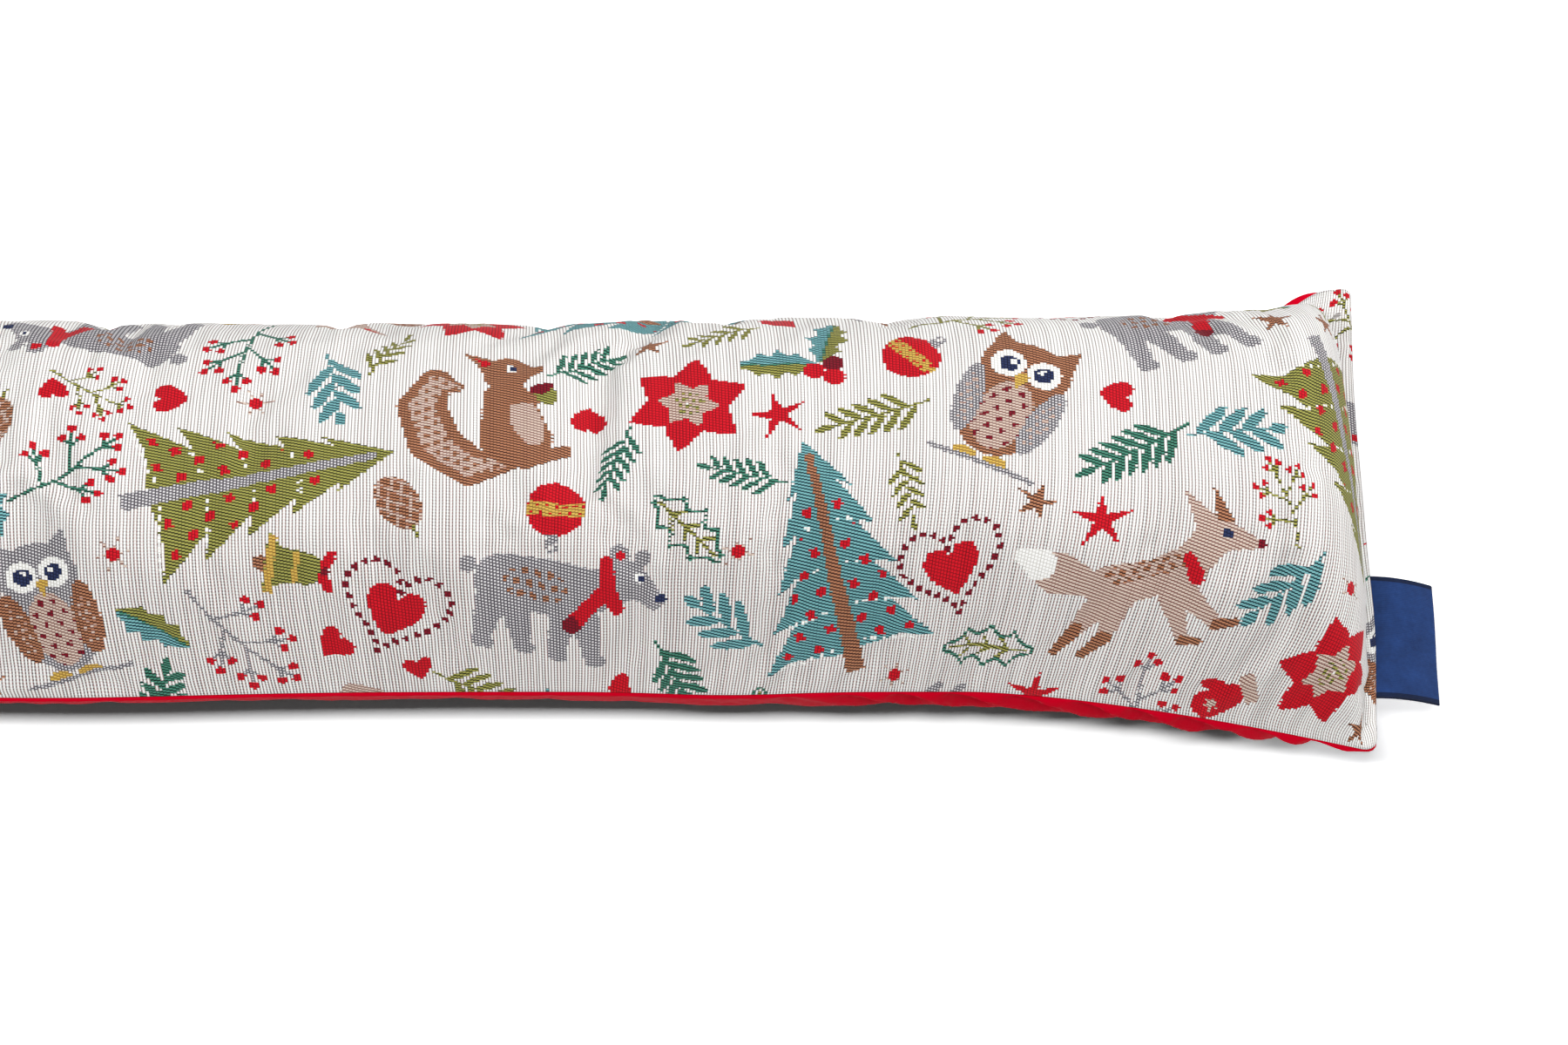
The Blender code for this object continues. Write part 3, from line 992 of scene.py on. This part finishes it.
def finer(coarse, columns, rows):
    """The same field on a finer grid, by cubic curves through its values."""
    for axis, count in ((0, columns + 1), (1, rows + 1)):
        values = np.moveaxis(coarse, axis, 0)
        place = np.linspace(0, len(values) - 1, count)
        low = np.clip(place.astype(int), 0, len(values) - 2)
        s = (place - low)[:, None, None]
        p0, p1 = values[np.maximum(low - 1, 0)], values[low]
        p2, p3 = values[low + 1], values[np.minimum(low + 2, len(values) - 1)]
        bend = (2 * p0 - 5 * p1 + 4 * p2 - p3) * s**2 + (3 * p1 - p0 - 3 * p2 + p3) * s**3
        coarse = np.moveaxis(p1 + 0.5 * ((p2 - p0) * s + bend), 0, axis)
    return coarse


moves = blown_up(*(
    points_on(surface, *panel_grid(surface, FILL_COLUMNS, FILL_ROWS)[:2])
    for surface in (crown, belly)
))
front_wrinkles, back_wrinkles = map(wrinkles_of, moves)
for name, field in (("front", front_wrinkles), ("back", back_wrinkles)):
    print(name, "wrinkles: usually", round(1000 * float(np.std(field[..., 2])), 2), end=" mm, ")
    print("at most", round(1000 * float(np.abs(field).max()), 2), "mm")

# %% [markdown]
# A panel becomes a mesh of quads. At its edges the cloth rolls in towards the seam, so a few more
# rows follow a small rim there, and one band of faces closes the panel on the inside. Each face
# carries what the material needs to weave it: the four cells of the chart that it holds, packed
# into one number in base 16, and where in those cells each of its corners lies. An image
# texture would do the same job, but here the pattern stays part of the mesh.

# %% Rim, mesh and thread attributes
RIM = np.array([(0, 0), (0.00012, 0.0004), (0.0005, 0.0008), (0.0014, 0.00105)])  # inward, down
WIDTH = len(RIM) - 1  # rows in the rim
CAP_START = 6  # columns from an end where the long closing faces begin
BASE = 16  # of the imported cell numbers
CELLS = 2  # cells along each side of a face


def with_rim(grid, down):
    """Adds the rows that roll into the seam. down is 1 for the front panel and -1 for the back."""
    i = np.arange(-WIDTH, grid.shape[0] + WIDTH)[:, None]
    j = np.arange(-WIDTH, grid.shape[1] + WIDTH)[None, :]
    inner_i, inner_j = np.clip(i, 0, grid.shape[0] - 1), np.clip(j, 0, grid.shape[1] - 1)
    points = grid[inner_i, inner_j].copy()
    inward, drop = RIM[np.maximum(np.abs(i - inner_i), np.abs(j - inner_j))].transpose(2, 0, 1)
    for axis, outside in ((0, i != inner_i), (1, j != inner_j)):
        points[..., axis] -= np.where(outside, np.sign(points[..., axis]) * inward, 0)
    points[..., 2] -= down * drop
    return points


def give(mesh, name, kind, domain, values):
    """Puts an attribute on a mesh for its material to read."""
    data = mesh.attributes.new(name, kind, domain).data
    data.foreach_set("value" if kind == "FLOAT" else "vector", values.astype(np.float32).ravel())


def cloth_panel(name, grid, down, face_cells=None):
    """A closed panel. grid holds its points, along then across, and down is as in with_rim."""
    points = with_rim(grid, down)
    m, n = points.shape[:2]
    number = np.arange(m * n).reshape(m, n)
    faces = quads_of(number).tolist()
    grid_faces = len(faces)
    near, far = number[:, 0].tolist(), number[:, -1].tolist()
    for i in range(CAP_START, m - 1 - CAP_START):
        faces.append([near[i], far[i], far[i + 1], near[i + 1]])
    for end, step in ((0, 1), (m - 1, -1)):
        inner = end + step * CAP_START
        loop = number[end].tolist() + far[end + step:inner + step:step] + near[inner:end:-step]
        faces.append(loop[::step])
    in_face = np.array([(0, 0, 0), (CELLS, 0, 0), (CELLS, CELLS, 0), (0, CELLS, 0)])[::down]
    mesh = bpy.data.meshes.new(name)
    mesh.from_pydata(points.reshape(-1, 3).tolist(), [], [face[::down] for face in faces])
    mesh.shade_smooth()

    weave = np.zeros((m, n, 3))
    weave[..., 0] = (np.arange(m) - WIDTH)[:, None] * CELLS
    weave[..., 1] = (np.arange(n) - WIDTH)[None, :] * CELLS
    give(mesh, "weave", "FLOAT_VECTOR", "POINT", weave)
    corners = np.zeros((len(mesh.loops), 3))
    corners[:grid_faces * 4] = np.tile(in_face, (grid_faces, 1))
    give(mesh, "cell", "FLOAT_VECTOR", "CORNER", corners)
    if face_cells is not None:
        i = np.clip(np.arange(m - 1) - WIDTH, 0, grid.shape[0] - 2)
        j = np.clip(np.arange(n - 1) - WIDTH, 0, grid.shape[1] - 2)
        packed = np.zeros(len(mesh.polygons))
        packed[:grid_faces] = face_cells[i[:, None], j[None, :]].ravel()
        give(mesh, "threads", "FLOAT", "FACE", packed)
    print(name, "has", len(mesh.polygons), "faces")
    return put_in_scene(name, mesh)


# %% [markdown]
# ## The tapestry front
#
# Four cells to a face, read from the chart: first pick left and right, then the pick above.

# %% The front panel
front_points = points_on(crown, front_x, front_t) + finer(front_wrinkles, COLUMNS, ROWS)
face_cells = (
    chart[0::2, 0::2] + BASE * chart[1::2, 0::2]
    + BASE**2 * chart[0::2, 1::2] + BASE**3 * chart[1::2, 1::2]
)
tapestry_front = cloth_panel("tapestry_front", front_points, 1, face_cells)
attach(tapestry_front, "root")
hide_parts("front_panel")

# %% [markdown]
# ## The red back
#
# The back is cut a little longer than the front and eased into the seams, so towards the ends it
# stands in soft gathers that lean to one side. The solver could make them too, but not where
# the photograph shows them, so they are waves along the seam that fade towards the middle and
# the underside.

# %% The back panel
BACK_COLUMNS, BACK_ROWS = 400, 90
GATHER_PITCH = 0.0195
GATHER_DRIFT, GATHER_DRIFT_PERIOD = 1.3, 0.153
GATHER_DEPTH = 0.0019
GATHERS_FROM = (0.230, 0.310)  # the cushion's middle
GATHERS_END = (0.014, 0.030)  # under the seam
GATHER_LEAN = 0.9  # how far a fold leans along the cushion as it runs down
WRINKLES_KEPT = (0.3, 0.6)  # share of the wrinkles in the smoother middle and at the ends
WRINKLES_GROW = (0.180, 0.300)  # from the cushion's middle
EAR_PUFF = (0.414, 0.020, 0.0085)  # x, radius and depth of the red cloth that shows behind an ear
EAR_PUFF_END = (0.004, 0.018)  # under the seam

back_x, back_t, _, _ = panel_grid(belly, BACK_COLUMNS, BACK_ROWS)
back_points = points_on(belly, back_x, back_t)
under_seam = seam_height(back_x, np.sign(back_t)) - back_points[..., 2]
strength = ease(np.abs(back_x), *GATHERS_FROM) * ease(from_end(back_x), 0.0, 0.006)
drift = GATHER_DRIFT * np.sin(math.tau * back_x / GATHER_DRIFT_PERIOD)
leaning = (back_x - GATHER_LEAN * under_seam) / GATHER_PITCH
fold = np.cos(math.tau * leaning + np.copysign(drift, back_t))
near_seam = ease(under_seam, 0.0, 0.003) * (1 - ease(under_seam, *GATHERS_END))
back_points[..., 1] += np.sign(back_t) * GATHER_DEPTH * strength * near_seam * fold
puff = bowed(np.abs(back_x), [EAR_PUFF]) * (back_t > 0)
back_points[..., 1] += puff * ease(under_seam, 0, 0.002) * (1 - ease(under_seam, *EAR_PUFF_END))
wrinkled = mix(*WRINKLES_KEPT, ease(np.abs(back_x), *WRINKLES_GROW))[..., None]
back_points += wrinkled * finer(back_wrinkles, BACK_COLUMNS, BACK_ROWS)
back_points[..., 2] = np.maximum(back_points[..., 2], 0)
red_back = cloth_panel("red_back", back_points, -1)
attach(red_back, "root")
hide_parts("back_panel")

# %% [markdown]
# ## The label
#
# A strip of navy tape is folded in half and caught by its ends in the end seam, so what shows is
# a loop of two layers. It is bare. The selvedges at its top and bottom are woven denser and
# stand a little proud. The tape droops and waves along its edge.

# %% The label
LABEL_WIDTH = label_high[1] - label_low[1]
LABEL_CENTRE_Y = (label_low[1] + label_high[1]) / 2
LABEL_REACH = 0.0225
LABEL_THICKNESS = 0.0012
LABEL_GAP = 0.0003  # from the end seam
LABEL_DROOP = math.radians(14)
LABEL_WAVE, LABEL_WAVE_TURN = 0.0007, 4.2
TAPE = 0.00045  # one layer
SELVEDGE, SELVEDGE_PROUD = 0.0016, 0.00008
LABEL_COLUMNS, LABEL_STEPS, LABEL_TURN = 60, 26, 10


def label_middle(along, out):
    """The surface midway between the two layers."""
    share = np.clip(out / LABEL_REACH, 0, 1)
    y = LABEL_CENTRE_Y + along * LABEL_WIDTH / 2
    root = seam_height(HALF_LENGTH, y / CORNER_HALF_WIDTH)
    wave = LABEL_WAVE * np.sin(LABEL_WAVE_TURN * along) * share**1.5
    x = HALF_LENGTH + LABEL_GAP + out * math.cos(LABEL_DROOP)
    height = root - out * np.sin(LABEL_DROOP * share) + wave
    return np.stack(np.broadcast_arrays(x, y, height), axis=-1)


def label_loop(gap, reach):
    """Distance out and height over the middle, up one layer, round the fold and back."""
    run = reach - gap
    turn = np.linspace(math.pi / 2, -math.pi / 2, LABEL_TURN + 1)
    there = np.linspace(0, run, LABEL_STEPS)
    layer = np.full(LABEL_STEPS - 1, gap)
    out = np.concatenate((there[:-1], run + gap * np.cos(turn), there[-2::-1]))
    return out, np.concatenate((layer, gap * np.sin(turn), -layer))


rings = []
for side in np.linspace(-1, 1, LABEL_COLUMNS + 1):
    from_edge = (1 - np.abs(side)) * LABEL_WIDTH / 2
    proud = SELVEDGE_PROUD * (1 - ease(from_edge, SELVEDGE * 0.7, SELVEDGE))
    ring = []
    for gap, reach, step in (
        (LABEL_THICKNESS / 2 + proud, LABEL_REACH, 1),
        (LABEL_THICKNESS / 2 - TAPE, LABEL_REACH - TAPE, -1),
    ):
        out, height = label_loop(gap, reach)
        layer = label_middle(side, out[::step])
        layer[:, 2] += height[::step]
        ring.append(layer)
    rings.append(np.concatenate(ring))
rings = np.array(rings)
number = np.arange(rings.shape[0] * rings.shape[1]).reshape(rings.shape[:2])
closed = np.concatenate((number, number[:, :1]), axis=1)
label_faces = quads_of(closed)[:, [0, 3, 2, 1]].tolist()
half = rings.shape[1] // 2
for end, step in ((0, 1), (-1, -1)):
    outer, inner = number[end, :half], number[end, :half - 1:-1]
    edge = np.stack((outer[:-1], inner[:-1], inner[1:], outer[1:]), axis=-1)
    label_faces += edge[:, ::step].tolist()
label_mesh = bpy.data.meshes.new("tape_label")
label_mesh.from_pydata(rings.reshape(-1, 3).tolist(), [], label_faces)
label_mesh.shade_smooth()
label_mesh.set_sharp_from_angle(angle=math.radians(50))
tape_label = put_in_scene("tape_label", label_mesh)
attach(tape_label, "root")
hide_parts("label")

# %% [markdown]
# ## Materials
#
# Colours are given as they look on a screen, 0 to 255, and turned into the linear values that a
# renderer works with. No cloth is one even colour, so one group of nodes serves all three
# materials: it puts out a slow drift of light and dark, and the fine fuzz of loose fibres.

# %% Colours, groups and uneven cloth
def screen(red, green, blue):
    """A colour as seen on screen, in linear values."""
    shares = (c / 255 for c in (red, green, blue))
    return tuple(((c + 0.055) / 1.055) ** 2.4 if c > 0.04 else c / 12.92 for c in shares)


def blend(tree, share, first, second, how="MIX"):
    inputs = {0: share, 6: first, 7: second}
    return add(tree, "Mix", 2, inputs, data_type="RGBA", blend_type=how)


def split(vector):
    """The x and the y of a vector."""
    parts = add(vector.tree, "SeparateXYZ", None, {0: vector}).outputs
    return Wire(parts[0]), Wire(parts[1])


def group_of(name, inputs, outputs):
    """A new node group, the wires of its inputs, and its outputs. Only Cell is a vector."""
    tree = bpy.data.node_groups.new(name, "ShaderNodeTree")
    for direction, labels in (("INPUT", inputs), ("OUTPUT", outputs)):
        for label in labels:
            kind = "NodeSocketVector" if label == "Cell" else "NodeSocketFloat"
            tree.interface.new_socket(label, in_out=direction, socket_type=kind)
    given = tree.nodes.new("NodeGroupInput").outputs
    wires = {label: Wire(given[label]) for label in inputs}
    return tree, wires, tree.nodes.new("NodeGroupOutput").inputs


uneven, given, out = group_of("uneven_cloth", ("Drift Size", "Fuzz Size", "Depth"), ("Shade", "Fuzz"))
spot = add(uneven, "TexCoord", "Object")
noises = []
for size, detail in (("Drift Size", 2), ("Fuzz Size", 3)):
    inputs = {"Vector": spot, "Scale": calc("DIVIDE", 1.0, given[size]), "Detail": detail}
    noises.append(add(uneven, "TexNoise", "Fac", inputs))
drift, fuzz = noises
plug(out["Shade"], calc("MULTIPLY_ADD", drift + fuzz * 0.5 - 0.75, given["Depth"], 1.0))
plug(out["Fuzz"], fuzz)


def uneven_colour(tree, colour, drift_size, fuzz_size, depth):
    """A colour made lighter and darker from place to place, and the fuzz of the cloth."""
    inputs = {"Drift Size": drift_size, "Fuzz Size": fuzz_size, "Depth": depth}
    parts = add(tree, "Group", None, inputs, node_tree=uneven).outputs
    return blend(tree, 1.0, colour, parts["Shade"], "MULTIPLY"), Wire(parts["Fuzz"])


def bump(shader, height, strength, distance):
    inputs = {"Height": height, "Strength": strength, "Distance": distance}
    plug(shader.inputs["Normal"], add(height.tree, "Bump", "Normal", inputs))


# %% [markdown]
# The next group reads the yarn of the cell that is being shaded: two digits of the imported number
# for the pick, then one of those two for the rib. Its other outputs say where in the rib the
# point lies. Sums and floors of small whole numbers are exact in a shader, and powers are not.

# %% Reading the chart in the shader
reader, given, out = group_of("chart_reader", ("Cell", "Threads"), ("Yarn", "Across", "Odd Rib"))
HAIR = 0.002  # keeps a point off the very border of its face


def within(place):
    """The cell of the face that a place is in, 0 or 1, and how far into the cell it is."""
    inside = calc("MINIMUM", calc("MAXIMUM", place, HAIR), CELLS - HAIR)
    whole = calc("FLOOR", inside)
    return whole, inside - whole


def digit(value, base, choose):
    """The lower or the upper half of a number: value modulo base, or value divided by it."""
    upper = calc("FLOOR", calc("DIVIDE", value, float(base)))
    lower = value - upper * float(base)
    return lower + (upper - lower) * choose


(odd_rib, across), (odd_pick, _) = map(within, split(given["Cell"]))
yarn = digit(digit(given["Threads"], BASE**2, odd_pick), BASE, odd_rib)
plug(out["Yarn"], calc("DIVIDE", yarn + 0.5, float(BASE)))
plug(out["Across"], across)
plug(out["Odd Rib"], odd_rib)
print("groups:", [group.name for group in bpy.data.node_groups])

# %% [markdown]
# Then the tapestry is woven thread by thread, from the looks of its yarns. `top` is the thread that floats
# on the face, the darker under colour what shows between the threads, partly the yarn there and partly
# painted shade in the gaps, and the two gaps say how wide that is between ribs and between picks.
# `float_run` is 0 where the ribs stand up and 1 where the weft lies over them, which decides the way the
# relief runs.

# %% The weave
DOTS = (screen(64, 60, 64), screen(170, 128, 124))  # the dark and the red warp in the valleys
LINE_PICKS = 1.5  # picks in one line of floats
FIRST_LINE = 512.0  # so that no line has a number under 0
TWILL = 0.25  # lines that a float steps up from one rib to the next
SOFT = 0.14  # softness of a thread's edge, as a share of the cell
RIB_CHANCE = 0.16  # how much the gaps between ribs differ
GAP_SHADE_WIDENING = 0.12  # how much the ground's gaps between ribs widen from top to front, as painted shade where the light grazes
UNSHADED_DOT_SHARE = 0.55  # share of the dark warp dots kept on top and near the ends; more of them at the front is painted shade
GAP_SHADE_PICKS = (165.0, 45.0)  # picks from the front seam, from no painted shade at the first to full at the second
GAP_SHADE_RIBS = (RIBS * 0.495, RIBS * 0.440)  # the same in ribs from the middle rib, so that the painted shade fades near the ends
DOT_EDGE = (0.35, 0.70)
FUZZ = 0.25  # share of the fuzz in the relief, and in the roughness of the red cloth

# %% The tapestry
tapestry, tree, shader = new_principled(
    "tapestry", Base_Color=screen(238, 233, 222), Roughness=0.85,
    Specular_IOR_Level=0.15, Sheen_Weight=0.05, Sheen_Roughness=0.5,
)
cell = add(tree, "Attribute", "Vector", attribute_name="cell")
threads = add(tree, "Attribute", "Fac", attribute_name="threads")
reading = add(tree, "Group", None, {"Cell": cell, "Threads": threads}, node_tree=reader).outputs
across = Wire(reading["Across"])


def by_yarn(values):
    """A colour ramp with one flat step for each yarn, of its colour or number."""
    ramp = add(tree, "ValToRGB", None, {0: reading["Yarn"]})
    ramp.color_ramp.interpolation = "CONSTANT"
    steps = ramp.color_ramp.elements
    while len(steps) < len(values):
        steps.new(0.99)
    for number, value in enumerate(values):
        steps[number].position = number / BASE
        steps[number].color = (*(screen(*value) if isinstance(value, tuple) else (value,) * 3), 1)
    return Wire(ramp.outputs[0])


def from_middle(place):
    """0 in the middle of a thread and 1 between threads."""
    return calc("ABSOLUTE", place - 0.5) * 2.0


def gap_mask(place, gap):
    return ramp_up(from_middle(place), 1.0 - SOFT - gap, 1.0 + SOFT - gap)


def ridge(place):
    return 1.0 - calc("POWER", from_middle(place), 2.0)


top, gap_yarn_and_shade, usual_gap, pick_gap, float_run = map(by_yarn, zip(*YARN_LOOKS.values()))
is_ground = by_yarn([float(name == "ground") for name in YARNS])
rib_place, pick_place = split(add(tree, "Attribute", "Vector", attribute_name="weave"))
rib = calc("FLOOR", rib_place)
line_place = calc("MULTIPLY_ADD", pick_place, 1 / LINE_PICKS, FIRST_LINE)
stepped = calc("FRACT", calc("MULTIPLY_ADD", rib, TWILL, line_place))
off_middle = calc("ABSOLUTE", rib_place - RIBS / 2)
# Painted shade: the ground's gaps are painted wider towards the front, where the light grazes the ribs,
# and narrower on top and near the ends.
front_gap_shade = ramp_up(off_middle, *GAP_SHADE_RIBS) * ramp_up(pick_place, *GAP_SHADE_PICKS)
chance = add(tree, "TexWhiteNoise", "Value", {"W": rib}, noise_dimensions="1D")
rib_gap = calc("MULTIPLY_ADD", chance - 0.5, RIB_CHANCE, usual_gap)
rib_gap = rib_gap + (front_gap_shade - 0.5) * GAP_SHADE_WIDENING * is_ground
between = calc("MAXIMUM", gap_mask(across, rib_gap), gap_mask(stepped, pick_gap))
dotted = (1.0 - ramp_up(from_middle(calc("FRACT", line_place)), *DOT_EDGE)) * is_ground
# Painted shade: the warp dots show in full at the front and are weakened on top and near the ends.
dotted = dotted * calc("MULTIPLY_ADD", front_gap_shade, 1 - UNSHADED_DOT_SHARE, UNSHADED_DOT_SHARE)
gap_yarn_and_shade = blend(tree, dotted, gap_yarn_and_shade, blend(tree, reading["Odd Rib"], *DOTS))
# Between the threads goes the darker under colour: partly the yarn there, partly painted shade in the
# gaps.
woven = blend(tree, between, top, gap_yarn_and_shade)
woven, fuzz = uneven_colour(tree, woven, drift_size=0.03, fuzz_size=0.0008, depth=0.10)
plug(shader.inputs["Base Color"], woven)
relief = calc("MULTIPLY_ADD", ridge(stepped) - ridge(across), float_run, ridge(across))
bump(shader, calc("MULTIPLY_ADD", fuzz, FUZZ, relief), strength=0.7, distance=0.00018)
tapestry_front.data.materials.append(tapestry)

# %% [markdown]
# The red cloth is a close plain weave with a soft shine. It needs only a faint relief and a
# roughness that varies. A Light Path node keeps what it throws onto the table and the front from
# being as red as it would be, because little of that shows in the photograph.

# %% The red cloth
RED = screen(205, 2, 34)
THROWN_RED = screen(70, 66, 66)  # what other things get from it
LOW_ROUGHNESS = 0.36
HALF_THREADS = 1700.0  # to a metre

red_cloth, tree, shader = new_principled("red_cloth", Base_Color=RED, Specular_IOR_Level=0.01)
red, fuzz = uneven_colour(tree, RED, drift_size=0.02, fuzz_size=0.0010, depth=0.16)
bounced = add(tree, "LightPath", "Is Diffuse Ray")
plug(shader.inputs["Base Color"], blend(tree, bounced, red, THROWN_RED))
plug(shader.inputs["Roughness"], calc("MULTIPLY_ADD", fuzz, FUZZ, LOW_ROUGHNESS))
x, y = split(add(tree, "TexCoord", "Object"))
waves = [calc("SINE", place * (math.tau * HALF_THREADS)) for place in (x, y)]
bump(shader, waves[0] * waves[1], strength=0.35, distance=0.00004)
red_back.data.materials.append(red_cloth)

# %% [markdown]
# The tape is woven from fine navy yarn, ribbed across, with a selvedge that looks darker.

# %% The label's tape
NAVY, DARK_NAVY = screen(25, 53, 104), screen(12, 26, 56)
TAPE_RIB, TAPE_PICK = 0.00055, 0.00035

navy_tape, tree, shader = new_principled(
    "navy_tape", Base_Color=NAVY, Roughness=0.6, Specular_IOR_Level=0.15
)
x, y = split(add(tree, "TexCoord", "Object"))
off_middle = calc("ABSOLUTE", y - LABEL_CENTRE_Y)
starts, ends = (LABEL_WIDTH / 2 - SELVEDGE * share for share in (1.1, 0.9))
tape = blend(tree, ramp_up(off_middle, starts, ends), NAVY, DARK_NAVY)
tape, _ = uneven_colour(tree, tape, drift_size=0.008, fuzz_size=0.0012, depth=1.0)
plug(shader.inputs["Base Color"], tape)
ribbed, crossed = calc("SINE", y * (math.tau / TAPE_RIB)), calc("SINE", x * (math.tau / TAPE_PICK))
bump(shader, calc("MULTIPLY_ADD", crossed, 0.5, ribbed), strength=0.4, distance=0.00006)
tape_label.data.materials.append(navy_tape)
for piece in (tapestry_front, red_back, tape_label):
    print(piece.name, "has", len(piece.data.materials[-1].node_tree.nodes), "shader nodes")

# %% [markdown]
# ## Closing
#
# The two boxes, of the CAD model and of what is drawn, are printed, the first near the top and the second
# here.

# %% Sizes
visual_box = [list(corner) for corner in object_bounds()]
print("visual box:", [[round(v, 4) for v in corner] for corner in visual_box])
